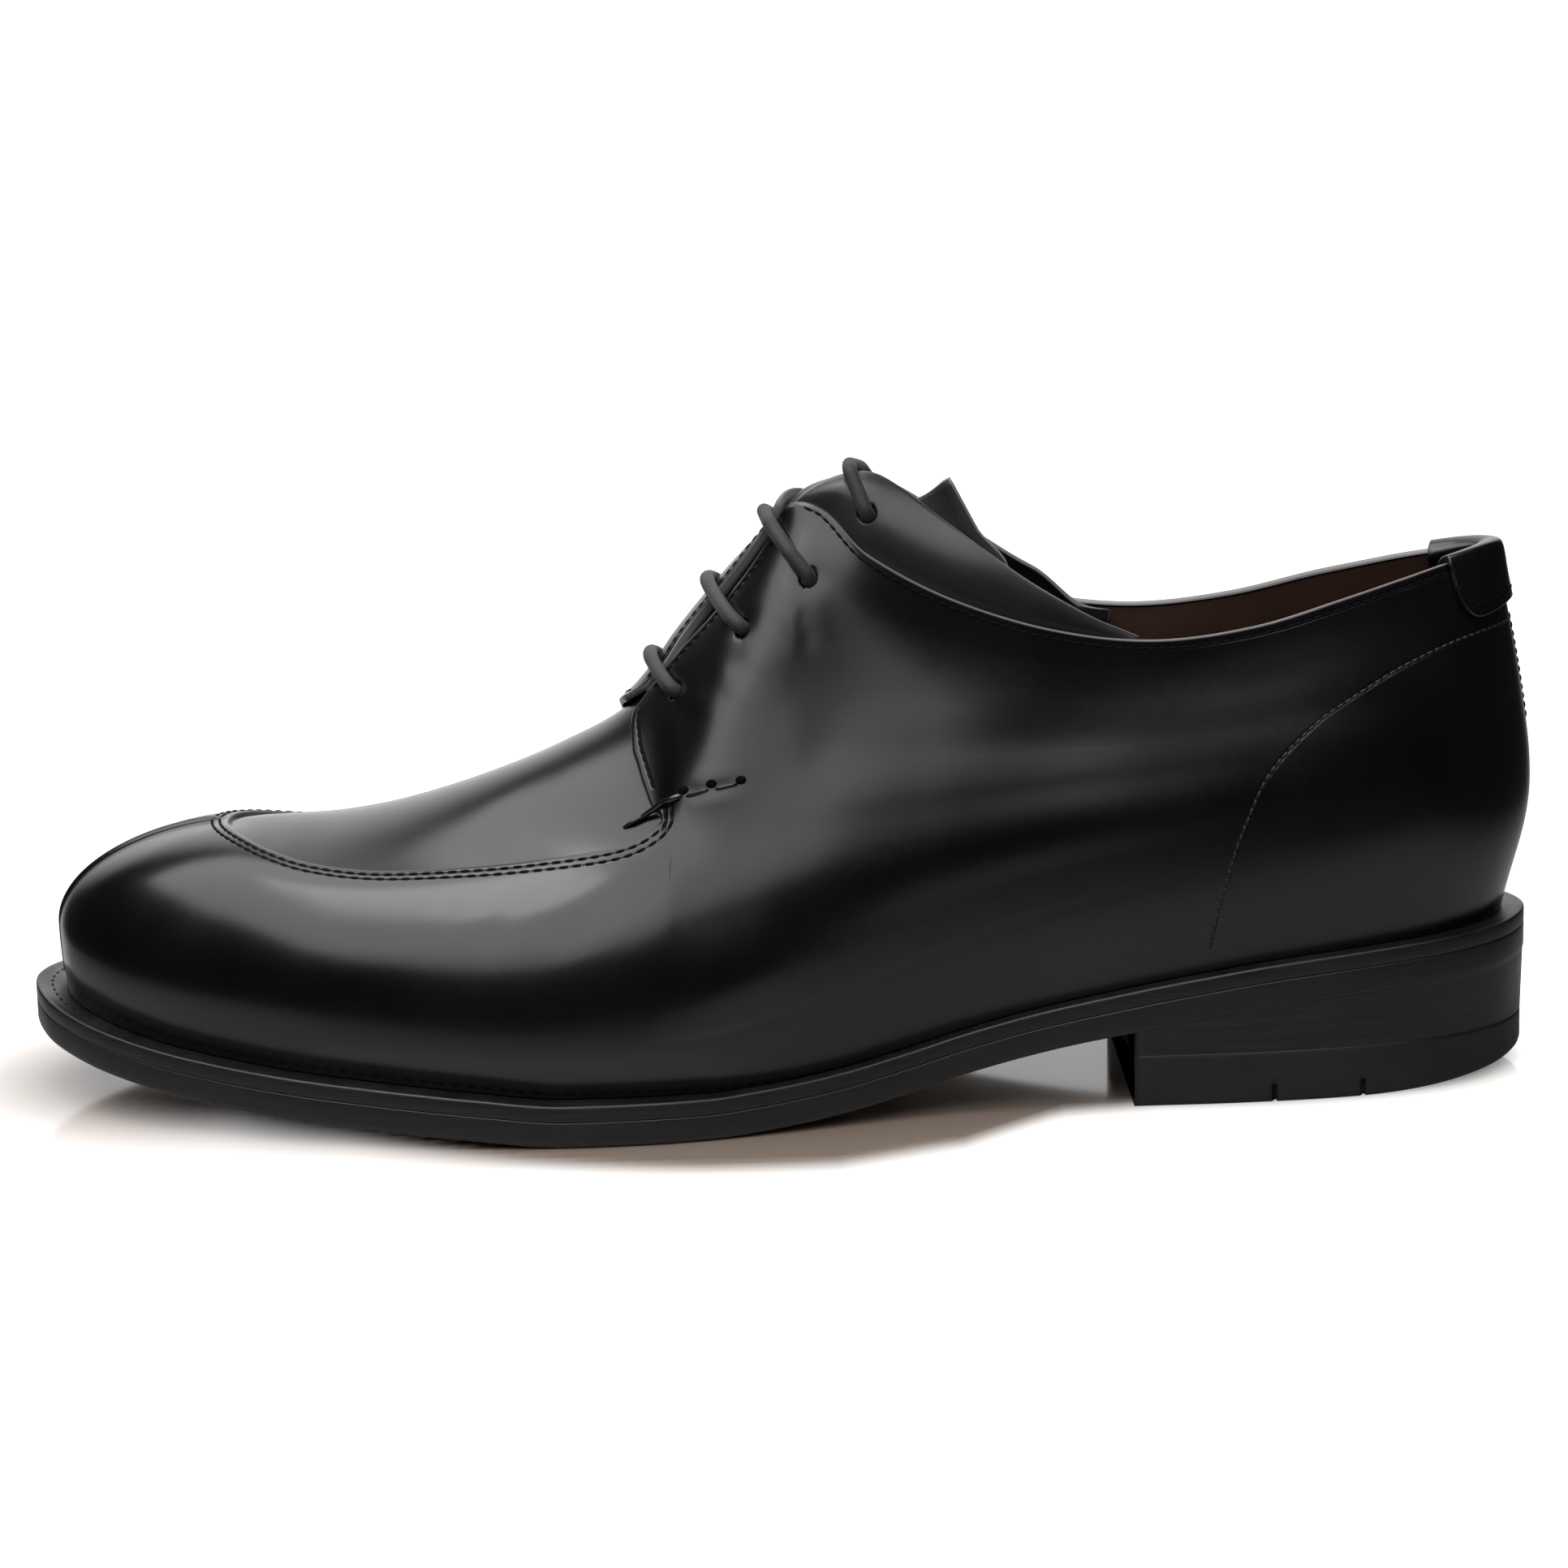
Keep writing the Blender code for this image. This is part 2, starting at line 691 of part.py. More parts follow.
def band_frame(side):
    s, u = BAND_EYELET
    p = band_point(s, u, side)
    a = band_point(s + 0.1, u, side) - band_point(s - 0.1, u, side)
    b = band_point(s, u + 0.08, side) - band_point(s, u - 0.08, side)
    n = a.cross(b)
    n.normalize()
    if n.y * side < 0:
        n = -n
    return p, n


def build_bands(group, cutters):
    mat = make_material("band_calf", (0.015, 0.014, 0.014), 0.4)
    made = []
    for side in (LAT, MED):
        label = "lateral" if side == LAT else "medial"
        ob = sheet("collar_band_" + label, band_grid(side), BAND_THICK, side == MED, mat, group)
        p, n = band_frame(side)
        cutter = rod_cutter("band_cutter_" + label, p - n * 5.0, p + n * 4.0, EYELET_RADIUS, cutters)
        cut(ob, cutter, "eyelet_4")
        made.append(ob)
    return made


# Tongue, a row per rib it follows under the leather: rib, distance below, where its edges lie on the rib.
TONGUE = (
    (12.9, 3.0, 2.62),
    (12.3, 3.6, 2.60),
    (11.6, 4.4, 2.58),
    (10.9, 5.0, 2.56),
    (10.2, 5.2, 2.55),
)

# Tongue above the facings, a row per strip from lateral to medial: middle x, y, z and top x, y, z.
TONGUE_TOP = (
    (35.0, -13.4, 100.0, 35.8, -12.2, 123.2),
    (24.5, -11.8, 105.0, 30.5, -11.0, 119.6),
    (16.5, -9.0, 108.6, 24.0, -8.8, 117.6),
    (12.0, -6.4, 110.8, 19.0, -6.0, 117.6),
    (10.4, -3.6, 111.8, 17.0, -3.4, 118.0),
    (10.8, -0.8, 111.4, 17.0, -0.6, 117.6),
    (12.6, 2.0, 109.8, 18.6, 2.2, 116.0),
    (16.0, 4.8, 106.6, 21.6, 5.0, 113.0),
    (20.6, 7.6, 102.2, 26.0, 7.6, 108.2),
)


def tongue_grid():
    half = (len(TONGUE_TOP) - 1) // 2
    grid = []
    for s, below, reach in TONGUE:
        line = []
        for k in range(half):
            line.append(on_rib(s, reach + (2.95 - reach) * k / half, LAT, -below))
        line.append((on_rib(s, 3.0, LAT, -below) + on_rib(s, 3.0, MED, -below)) * 0.5)
        for k in range(1, half + 1):
            line.append(on_rib(s, 2.95 + (reach - 2.95) * k / half, MED, -below))
        grid.append(line)
    start = grid[-1]
    for f in (0.5, 1.0):
        line = []
        for p, row in zip(start, TONGUE_TOP):
            line.append(p.lerp(Vector(row[0:3]), f))
        grid.append(line)
    for f in (0.5, 1.0):
        line = []
        for row in TONGUE_TOP:
            line.append(Vector(row[0:3]).lerp(Vector(row[3:6]), f))
        grid.append(line)
    return grid


def build_tongue(group):
    mat = make_material("tongue_calf", (0.015, 0.013, 0.013), 0.45)
    return sheet("tongue", tongue_grid(), TONGUE_THICK, False, mat, group)


TAB_STATIONS = ((LAT, 1.55), (LAT, 1.2), (LAT, 0.8), (LAT, 0.4), (LAT, 0.0), (MED, 0.4), (MED, 0.8), (MED, 1.2), (MED, 1.55))


def tab_line(side, s, grow):
    edge = min(1.0, max(0.0, (s - 0.9) / 0.65))
    low = 2.56 + 0.16 * edge * edge
    mid = 0.5 * (low + 3.0)
    out = GAP + grow
    inside = -WALL - GAP - grow - 0.15
    up = Vector((0.0, 0.0, 1.0))
    return [
        on_rib(s, low, side, out),
        on_rib(s, mid, side, out),
        on_rib(s, 3.0, side, out) + up * 0.2,
        on_rib(s, 3.0, side, 0.1) + up * (out + 0.4),
        on_rib(s, 3.0, side, -WALL - 0.3) + up * (out + 0.4),
        on_rib(s, 3.0, side, inside - 0.2) + up * 0.3,
        on_rib(s, mid, side, inside),
        on_rib(s, low, side, inside),
    ]


def build_tab(group):
    mat = make_material("tab_calf", (0.014, 0.013, 0.013), 0.35)
    grid = [tab_line(side, s, TAB_THICK) for side, s in TAB_STATIONS]
    return sheet("heel_tab", grid, TAB_THICK, False, mat, group)


def cord(name, path, mat, group):
    curve = bpy.data.curves.new(name, "CURVE")
    curve.dimensions = "3D"
    curve.bevel_depth = LACE_RADIUS * MM
    curve.bevel_resolution = 2
    curve.use_fill_caps = True
    spline = curve.splines.new("POLY")
    spline.points.add(len(path) - 1)
    for point, p in zip(spline.points, path):
        q = place_point(p)
        point.co = (q.x, q.y, q.z, 1.0)
    curve.materials.append(mat)
    ob = bpy.data.objects.new(name, curve)
    group.objects.link(ob)
    return ob


def bar_path(tree, pa, na, pb, nb):
    # A taut cord: out of one eyelet, straight over the high spots between, down into the other.
    clear = LACE_RADIUS + LACE_CLEAR
    along = (pb - pa).normalized()
    out = (INSTEP - along * INSTEP.dot(along)).normalized()
    count = 40
    spots = []
    for i in range(2, count - 1):
        q = pa.lerp(pb, i / count)
        high = None
        for k in range(-4, 5):
            d = clear * k / 4.0
            hit = tree.ray_cast(place_point(q + along * d + out * 40.0), -out)
            if hit[0] is None:
                continue
            h = (scene_to_mm(hit[0]) - q).dot(out) + math.sqrt(clear * clear - d * d)
            high = h if high is None else max(high, h)
        if high is not None:
            spots.append((i / count, high))
    over = [pa.lerp(pb, f) + out * h for f, h in taut(spots)]
    path = [pa - na * 1.5, pa - na * 0.2, pa + na * 1.1]
    path += over
    path += [pb + nb * 1.1, pb - nb * 0.2, pb - nb * 1.5]
    return path


def taut(spots):
    # The stations that a stretched cord touches.
    line = []
    for q in spots:
        while len(line) > 1:
            a = line[-2]
            b = line[-1]
            if (b[1] - a[1]) * (q[0] - a[0]) > (q[1] - a[1]) * (b[0] - a[0]):
                break
            line.pop()
        line.append(q)
    return line


def skin_tree(obs):
    bm = bmesh.new()
    for ob in obs:
        bm.from_mesh(ob.data)
    tree = BVHTree.FromBMesh(bm)
    bm.free()
    return tree


def build_laces(upper, bands, group):
    mat = make_material("lace_cord", (0.02, 0.02, 0.021), 0.6)
    tree = skin_tree([upper])
    for k, (s, t) in enumerate(EYELETS):
        ends = []
        for side in (LAT, MED):
            ends += [rib_point(s, t, side), rib_normal(s, t, side)]
        path = bar_path(tree, ends[0], ends[1], ends[2], ends[3])
        cord("lace_bar_%d" % (k + 1), path, mat, group)
    pa, na = band_frame(LAT)
    pb, nb = band_frame(MED)
    path = bar_path(skin_tree(bands), pa, na, pb, nb)
    cord("lace_bar_4", path, mat, group)


def build():
    clear_scene()
    scene = bpy.context.scene
    group = bpy.data.collections.new("derby_shoe")
    scene.collection.children.link(group)
    cutters = bpy.data.collections.new("cutters")
    scene.collection.children.link(cutters)
    build_outsole(group)
    build_welt(group)
    build_insole(group)
    build_heel_stack(group)
    build_top_lift(group, cutters)
    upper = build_upper(group, cutters)
    bands = build_bands(group, cutters)
    build_tongue(group)
    build_tab(group)
    build_laces(upper, bands, group)


build()
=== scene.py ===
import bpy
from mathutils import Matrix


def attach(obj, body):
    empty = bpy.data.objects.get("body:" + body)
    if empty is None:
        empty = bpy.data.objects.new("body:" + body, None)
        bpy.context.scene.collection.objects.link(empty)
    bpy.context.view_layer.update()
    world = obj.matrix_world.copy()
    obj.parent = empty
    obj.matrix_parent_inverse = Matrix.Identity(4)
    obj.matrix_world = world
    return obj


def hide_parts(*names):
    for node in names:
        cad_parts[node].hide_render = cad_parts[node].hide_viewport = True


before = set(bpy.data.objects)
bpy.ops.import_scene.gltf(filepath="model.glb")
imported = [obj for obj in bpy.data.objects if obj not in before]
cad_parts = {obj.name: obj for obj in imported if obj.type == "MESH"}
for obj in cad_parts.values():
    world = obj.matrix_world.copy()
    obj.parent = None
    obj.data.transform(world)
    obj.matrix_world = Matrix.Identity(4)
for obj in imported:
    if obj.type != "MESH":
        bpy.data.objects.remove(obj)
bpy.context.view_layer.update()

import math
import bpy
import numpy as np
from mathutils import Matrix, Vector
from mathutils.bvhtree import BVHTree

scene = bpy.context.scene
print("frame in, nodes:", len(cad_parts))

cameraSetup = {
    "place": (-0.00815, -0.87403, 0.2434),
    "yaw": 0.64, "pitch": 11.82, "roll": -1.3,
    "lens": 100.94,
}


def placeCamera(setup):
    yaw, pitch, roll = (math.radians(setup[k]) for k in ("yaw", "pitch", "roll"))
    ahead = Vector((math.sin(yaw) * math.cos(pitch), math.cos(yaw) * math.cos(pitch), -math.sin(pitch)))
    right = Vector((math.cos(yaw), -math.sin(yaw), 0.0))
    up = right.cross(ahead)
    turnedRight = right * math.cos(roll) + up * math.sin(roll)
    turnedUp = up * math.cos(roll) - right * math.sin(roll)
    data = bpy.data.cameras.new("photoCamera")
    data.sensor_width = 36.0
    data.sensor_fit = "HORIZONTAL"
    data.lens = setup["lens"]
    data.clip_end = 60.0
    cam = bpy.data.objects.new("photoCamera", data)
    scene.collection.objects.link(cam)
    cam.matrix_world = Matrix((
        (turnedRight.x, turnedUp.x, -ahead.x, setup["place"][0]),
        (turnedRight.y, turnedUp.y, -ahead.y, setup["place"][1]),
        (turnedRight.z, turnedUp.z, -ahead.z, setup["place"][2]),
        (0.0, 0.0, 0.0, 1.0)))
    scene.camera = cam


placeCamera(cameraSetup)

lightSetup = {
    # a wide softbox overhead on the toe side with a hotter middle, one in front and one over the heel
    "softbox": {"place": (-0.55, -0.30, 1.10), "size": (1.20, 2.10), "power": 22.5},
    "softboxCore": {"place": (-0.22, -0.12, 1.06), "size": (0.50, 0.70), "power": 3.6},
    "softboxFront": {"place": (-0.325, -1.65, 1.10), "size": (1.55, 0.60), "power": 6.2},
    "softboxSide": {"place": (0.36, -0.625, 1.10), "size": (0.62, 1.45), "power": 7.2},
    "warmth": (1.0, 0.985, 0.965),
    "roomLow": 0.024, "sweepBright": 1.28, "sweepAim": (0.02, 0.94, 0.34), "sweepEdge": (0.80, 0.97),
}


def areaLight(name, part):
    data = bpy.data.lights.new(name, "AREA")
    data.shape = "RECTANGLE"
    data.size, data.size_y = part["size"]
    data.energy = part["power"]
    data.color = lightSetup["warmth"]
    ob = bpy.data.objects.new(name, data)
    ob.location = part["place"]
    scene.collection.objects.link(ob)


def addNode(tree, kind, **values):
    node = tree.nodes.new(kind)
    for key, value in values.items():
        setattr(node, key, value)
    return node


def link(tree, a, b):
    tree.links.new(a, b)


def remap(tree, value, fromLow, fromHigh, toLow, toHigh, kind="SMOOTHSTEP"):
    node = addNode(tree, "ShaderNodeMapRange", interpolation_type=kind)
    for key, number in (("From Min", fromLow), ("From Max", fromHigh), ("To Min", toLow), ("To Max", toHigh)):
        node.inputs[key].default_value = number
    link(tree, value, node.inputs["Value"])
    return node.outputs["Result"]


def mathNode(tree, kind, a, b):
    node = addNode(tree, "ShaderNodeMath", operation=kind)
    for socket, value in zip(node.inputs, (a, b)):
        if isinstance(value, float):
            socket.default_value = value
        else:
            link(tree, value, socket)
    return node.outputs[0]


def studioSky(setup):
    # white where the lens sees it; the shoe sees a dim room with a bright sweep behind it
    world = bpy.data.worlds.new("studioSky")
    scene.world = world
    world.use_nodes = True
    tree = world.node_tree
    tree.nodes.clear()
    where = addNode(tree, "ShaderNodeTexCoord")
    aim = addNode(tree, "ShaderNodeVectorMath", operation="DOT_PRODUCT")
    aim.inputs[1].default_value = Vector(setup["sweepAim"]).normalized()
    link(tree, where.outputs["Generated"], aim.inputs[0])
    room = remap(tree, aim.outputs["Value"], *setup["sweepEdge"], setup["roomLow"], setup["sweepBright"])
    path = addNode(tree, "ShaderNodeLightPath")
    sky = addNode(tree, "ShaderNodeBackground")
    sky.inputs["Color"].default_value = (1.0, 1.0, 1.0, 1.0)
    out = addNode(tree, "ShaderNodeOutputWorld")
    link(tree, mathNode(tree, "MAXIMUM", room, path.outputs["Is Camera Ray"]), sky.inputs["Strength"])
    link(tree, sky.outputs[0], out.inputs["Surface"])


for name in ("softbox", "softboxCore", "softboxFront", "softboxSide"):
    areaLight(name, lightSetup[name])
studioSky(lightSetup)
scene.view_settings.view_transform = "Standard"
print("camera and studio set")

# the last: the shoe's own sizes in millimetres, toe towards -x, outer side towards -y

lat, med = -1, 1
lastShift = np.array((-0.5, 2.7, 0.0))
soleThick, weltThick, seatGap = 5.0, 3.2, 0.3
wallThick = 2.4
instepUp = np.array((-0.77, 0.0, 0.638))

bottomLine = np.array((
    (-154, 13.5), (-136, 9.65), (-118, 6.8), (-100, 4.9), (-80, 3.1), (-60, 1.5), (-42, 0), (-15, 0),
    (-3, 0.8), (10, 2.3), (25, 5.2), (36, 8), (48, 10.8), (62, 13.7), (80, 17), (100, 19.9), (125, 22),
    (154, 23.4)), float)

# sole edge from the heel to the toe: x, outer y, inner y
soleEdge = np.array((
    (153.2, -0.5, -0.5), (150.5, -11, 10), (143.5, -20.5, 18.5), (131, -28.5, 25), (113, -33.5, 28.5),
    (92, -35.8, 29.3), (70, -36.3, 28.3), (50, -36.6, 26.8), (30, -39.5, 26.5), (12, -44.8, 29),
    (-5, -49.8, 34), (-22, -53.6, 40), (-40, -55, 45.5), (-60, -54.1, 49), (-80, -50.2, 49.6),
    (-98, -45.4, 48.6), (-114, -38.6, 46.2), (-128, -31, 42.2), (-140, -21.2, 35.6), (-149.2, -8, 25.6),
    (-153.2, 9, 9)), float)

# ribs from the heel to the toe: foot place and inset, belly place, inset and height
lowMarks = np.array((
    (0, 4.6, 0, -1, 58.5), (1.25, 4.4, 1.2, -0.5, 58), (2.45, 4.2, 2.4, 0.1, 57), (3.65, 4, 3.6, 0.9, 55),
    (4.7, 3.9, 4.7, 1.5, 52), (5.77, 3.8, 5.8, 1.7, 47), (6.9, 3.6, 7, 1.3, 41),
    (7.9, 3.6, 8.05, 0.9, 34), (8.9, 3.9, 9.1, 1.3, 28), (9.45, 4.2, 9.7, 1.9, 25),
    (10, 4.5, 10.25, 2.3, 22.5), (10.6, 4.7, 10.8, 2.7, 21), (11.2, 4.9, 11.4, 3, 20.5),
    (12.2, 5.1, 12.4, 3.3, 20.5), (13.1, 5.2, 13.3, 3.5, 21), (14, 5.3, 14.2, 3.6, 22.5),
    (14.9, 5.4, 15.1, 3.7, 24.5), (15.9, 5.5, 16.05, 3.8, 26.5), (17, 5.7, 17.1, 4.1, 29),
    (18.4, 6, 18.4, 4.8, 31.5), (20, 6.4, 20, 5.8, 33)), float)

# shoulder of each rib: x, outer y, inner y, z, rise, inner drop, fullness
shoulderMarks = np.array((
    (152, 0, 0, 79, 1, 0, 1), (147, -12.3, 11.3, 79, 1, 0, 1), (136.5, -21.5, 18.5, 79, 1, 0, 1),
    (118, -28, 23, 78, 1, 0, 1), (97, -30.8, 24.5, 75.5, 1, 0, 1), (74, -31.5, 25, 73.5, 1, 0, 1),
    (51, -32, 26, 72.5, 1, 0, 1), (31, -33.5, 27, 72, 1, 0, 1), (12, -35.5, 28.5, 71.5, 1, 0, 1),
    (1, -36.5, 30, 70, 1, 0, 1), (-9, -37, 31, 67.5, 1, 0, 1), (-18, -36.5, 32, 63.5, 0.95, 0, 1),
    (-25.6, -37, 33.5, 56.6, 0.8, 0, 1), (-47, -33.5, 33.5, 52.8, 0.6, 0.3, 1),
    (-64, -31.5, 33, 51.2, 0.5, 0.8, 1), (-80, -28.5, 32, 50.4, 0.45, 1.2, 1),
    (-92.5, -24, 30, 51.2, 0.4, 1.5, 1), (-101, -18.3, 26, 52.8, 0.3, 1.6, 0.97),
    (-107, -11.3, 20.5, 54.2, 0.2, 1.4, 0.90), (-110.8, -3.4, 14, 54.8, 0.15, 0.8, 0.83),
    (-112.3, 6, 6, 54.5, 0.12, 0, 0.80)), float)

# top line of each rib: x, outer y, inner y, z, across, lean, inner lift
topMarks = np.array((
    (147, 0, 0, 105.3, 0, 0, 0), (142.3, -6.8, 6.2, 104.8, 0, 0, 0), (131, -13, 11, 102.6, 0, 0, 0),
    (114, -19.3, 15, 98.6, 0, 0, 0), (95, -23.2, 18, 93.9, 0, 0, 0), (75, -25, 19.5, 92, 0, 0, 0),
    (55, -24.8, 19.5, 94.6, 0, 0, 0), (35.5, -22, 17.5, 100.8, 0, 0, 0),
    (18.5, -16.5, 13, 109.4, 0.2, 0, 0), (5.8, -10, -2, 118.2, 0.7, 0.2, 0.8),
    (-4.6, -8.8, -6.4, 107.2, 1, 0.3, 1.3), (-15.8, -7.6, -5.2, 93.8, 1, 0.3, 1.3),
    (-27.2, -7.4, -5, 79.3, 1, 0.25, 1.2), (-43, 1, 1, 70.4, 1, 0, 0), (-59, 1.5, 1.5, 64, 1, 0, 0),
    (-75, 3, 3, 59, 1, 0, 0), (-88, 4, 4, 56.5, 1, 0, 0), (-98, 4.8, 4.8, 55.9, 1, 0, 0),
    (-105, 5.4, 5.4, 55.6, 1, 0, 0), (-109.3, 5.8, 5.8, 55.1, 1, 0, 0),
    (-111.5, 6, 6, 54.6, 1, 0, 0)), float)


def toScene(p):
    return (np.asarray(p, float) + lastShift) * 0.001


def unit(v):
    return v / np.maximum(np.linalg.norm(v, axis=-1), 1e-9)[..., None]


def hermite(a, b, ma, mb, t):
    t2, t3 = t * t, t * t * t
    return a * (2 * t3 - 3 * t2 + 1) + ma * (t3 - 2 * t2 + t) + b * (3 * t2 - 2 * t3) + mb * (t3 - t2)


def throughFour(a, b, c, d, t):
    # a curve from b to c that takes its slopes from all four
    return hermite(b, c, 0.5 * (c - a), 0.5 * (d - b), t)


def smooth(x, low, high):
    f = np.clip((np.asarray(x, float) - low) / (high - low), 0.0, 1.0)
    return f * f * (3 - 2 * f)


def alongRows(rows, s, before, after):
    rows = np.vstack((before, rows, after))
    s = np.clip(s, 0.0, len(rows) - 3.0)
    i = np.minimum(s.astype(int), len(rows) - 4)
    t = (s - i)[:, None]
    return throughFour(rows[i], rows[i + 1], rows[i + 2], rows[i + 3], t)


def tableAt(rows, s):
    return alongRows(rows, s, 2 * rows[0] - rows[1], 2 * rows[-1] - rows[-2])


def sideAt(rows, s, side):
    # past either end the table runs on along the other side
    rest = list(range(3, rows.shape[1]))
    own = rows[:, [0, 1 if side == lat else 2] + rest]
    far = rows[:, [0, 2 if side == lat else 1] + rest]
    return alongRows(own, s, far[1], far[-2])


def smoothPath(points, count):
    points = np.asarray(points, float)
    return tableAt(points, np.linspace(0, len(points) - 1, count))


def bottomZ(x):
    xs, zs = bottomLine.T
    slope = np.diff(zs) / np.diff(xs)
    p, q = slope[:-1], slope[1:]
    turn = p * q <= 0
    inner = np.where(turn, 0.0, 2 * p * q / np.where(turn, 1.0, p + q))
    ends = np.concatenate(([slope[0]], inner, [slope[-1]]))
    x = np.clip(x, xs[0], xs[-1])
    i = np.clip(np.searchsorted(xs, x) - 1, 0, len(xs) - 2)
    h = xs[i + 1] - xs[i]
    return hermite(zs[i], zs[i + 1], ends[i] * h, ends[i + 1] * h, (x - xs[i]) / h)


def edgeInset(place, side, inset):
    place = np.clip(np.asarray(place, float), 0.0, 20.0)
    ahead, behind = np.minimum(place + 0.02, 20.0), np.maximum(place - 0.02, 0.0)
    along = sideAt(soleEdge, ahead, side) - sideAt(soleEdge, behind, side)
    along[(place <= 0.0) | (place >= 20.0), 0] = 0.0
    along = unit(along)
    inward = np.stack((along[:, 1], -along[:, 0]), 1) * -side
    return sideAt(soleEdge, place, side) + inward * np.broadcast_to(inset, place.shape)[:, None]


def ribPoint(s, t, side, own):
    # s counts ribs from the heel to the toe; t climbs a rib: 0 foot, 1 belly, 2 shoulder, 3 top line
    # own is 1 where a side has its own top line, 0 where both sides share the middle
    low = tableAt(lowMarks, s)
    foot = edgeInset(low[:, 0], side, low[:, 1])
    foot = np.column_stack((foot, bottomZ(foot[:, 0]) + soleThick + weltThick + 2 * seatGap))
    belly = np.column_stack((edgeInset(low[:, 2], side, low[:, 3]), low[:, 4]))
    mark = sideAt(shoulderMarks, s, side)
    shoulder = mark[:, :3].copy()
    if side == med:
        shoulder[:, 2] -= mark[:, 4]
    rise, full = mark[:, 3], mark[:, 5][:, None]
    mark = sideAt(topMarks, s, side)
    top = mark[:, :3].copy()
    far = sideAt(topMarks, s, -side)[:, 1]
    top[:, 1] = own * top[:, 1] + (1 - own) * 0.5 * (top[:, 1] + far)
    level, lean, lift = mark[:, 3][:, None], mark[:, 4], mark[:, 5]
    if side == med:
        top += instepUp * (lift * own)[:, None]
    across = np.stack((-0.77 * lean, np.ones_like(lean), 0.64 * lean), 1) * -side
    span = top - shoulder
    end = span * (1 - level) + across * np.linalg.norm(span, axis=1)[:, None] * level
    through = top - belly
    through[:, 2] *= rise
    through = unit(through)
    up = np.array((0.0, 0.0, 1.0))
    t = t[:, None]
    reachA = np.linalg.norm(belly - foot, axis=1)[:, None]
    reachB = np.linalg.norm(shoulder - belly, axis=1)[:, None]
    reachC = np.linalg.norm(span, axis=1)[:, None]
    a = hermite(foot, belly, (belly - foot) * 1.1, up * reachA * 1.1, t)
    b = hermite(belly, shoulder, up * reachB * full, through * reachB * 1.2, t - 1)
    c = hermite(shoulder, top, through * reachC, end, t - 2)
    return np.where(t <= 1, a, np.where(t <= 2, b, c))


def ribAny(s, t, side, own):
    p = ribPoint(np.clip(s, 0, 20), t, side, own)
    for mask, mirrored in ((s < 0, -s), (s > 20, 40 - s)):
        if mask.any():
            p[mask] = ribPoint(mirrored[mask], t[mask], -side, own[mask])
    return p


def ownTop(s):
    return 1.0 - smooth(s, 12.25, 13.25)


def skinAt(s, t, side, own=None):
    # point and outward normal on the last
    s, t = np.broadcast_arrays(np.asarray(s, float), np.asarray(t, float))
    shape = s.shape
    s, t = s.ravel(), t.ravel()
    own = ownTop(s) if own is None else np.full(s.shape, float(own))
    p = ribPoint(s, t, side, own)
    along = ribAny(s + 0.05, t, side, own) - ribAny(s - 0.05, t, side, own)
    above, below = np.minimum(t + 0.03, 3.0), np.maximum(t - 0.03, 0.0)
    rise = ribPoint(s, above, side, own) - ribPoint(s, below, side, own)
    n = unit(np.cross(along, rise)) * side
    return p.reshape(shape + (3,)), n.reshape(shape + (3,))


def startMaterial(name, **sockets):
    mat = bpy.data.materials.new(name)
    mat.use_nodes = True
    tree = mat.node_tree
    shader = tree.nodes["Principled BSDF"]
    for key, value in sockets.items():
        shader.inputs[key.replace("_", " ")].default_value = value
    return mat, tree, shader


def wire(tree, shader, **fields):
    for key, field in fields.items():
        link(tree, field, shader.inputs[key.replace("_", " ")])


def objectCoords(tree, scale=(1.0, 1.0, 1.0)):
    where = addNode(tree, "ShaderNodeTexCoord")
    turn = addNode(tree, "ShaderNodeMapping")
    turn.inputs["Scale"].default_value = scale
    link(tree, where.outputs["Object"], turn.inputs["Vector"])
    return turn.outputs["Vector"]


def noiseField(tree, coords, scale, detail=3.0, rough=0.55):
    node = addNode(tree, "ShaderNodeTexNoise")
    node.inputs["Scale"].default_value = scale
    node.inputs["Detail"].default_value = detail
    node.inputs["Roughness"].default_value = rough
    link(tree, coords, node.inputs["Vector"])
    return node.outputs["Fac"]


def spread(tree, noise, low=0.0, high=1.0):
    # most of a noise lies between 0.3 and 0.7
    return remap(tree, noise, 0.3, 0.7, low, high)


def markField(tree, name):
    node = addNode(tree, "ShaderNodeAttribute", attribute_name=name)
    return node.outputs["Fac"]


def mixColour(tree, factor, a, b):
    node = addNode(tree, "ShaderNodeMix", data_type="RGBA")
    link(tree, factor, node.inputs[0])
    for socket, colour in ((node.inputs[6], a), (node.inputs[7], b)):
        if isinstance(colour, tuple):
            socket.default_value = colour + (1.0,)
        else:
            link(tree, colour, socket)
    return node.outputs[2]


def bumpOn(tree, height, distance, strength=1.0, under=None):
    node = addNode(tree, "ShaderNodeBump")
    node.inputs["Strength"].default_value = strength
    node.inputs["Distance"].default_value = distance
    link(tree, height, node.inputs["Height"])
    if under is not None:
        link(tree, under, node.inputs["Normal"])
    return node.outputs["Normal"]


calfFinish = {
    "dark": (0.0010, 0.0010, 0.0020), "worn": (0.0024, 0.0024, 0.0036),
    # the cut-edge colour: the raw edge's paler tone, lightened further as a painted highlight along its rounded
    # rim
    "cutEdgeHighlight": (0.11, 0.107, 0.104),
    "roughLow": 0.19, "roughHigh": 0.24, "flexRough": 0.055,
    "flexFrom": -0.035, "flexTo": 0.02,
    "cloudScale": 24.0, "fineScale": 420.0, "poreScale": 1900.0, "creaseScale": 260.0,
    "poreDeep": 0.15, "grainBump": 0.18, "seamBump": 0.7,
}


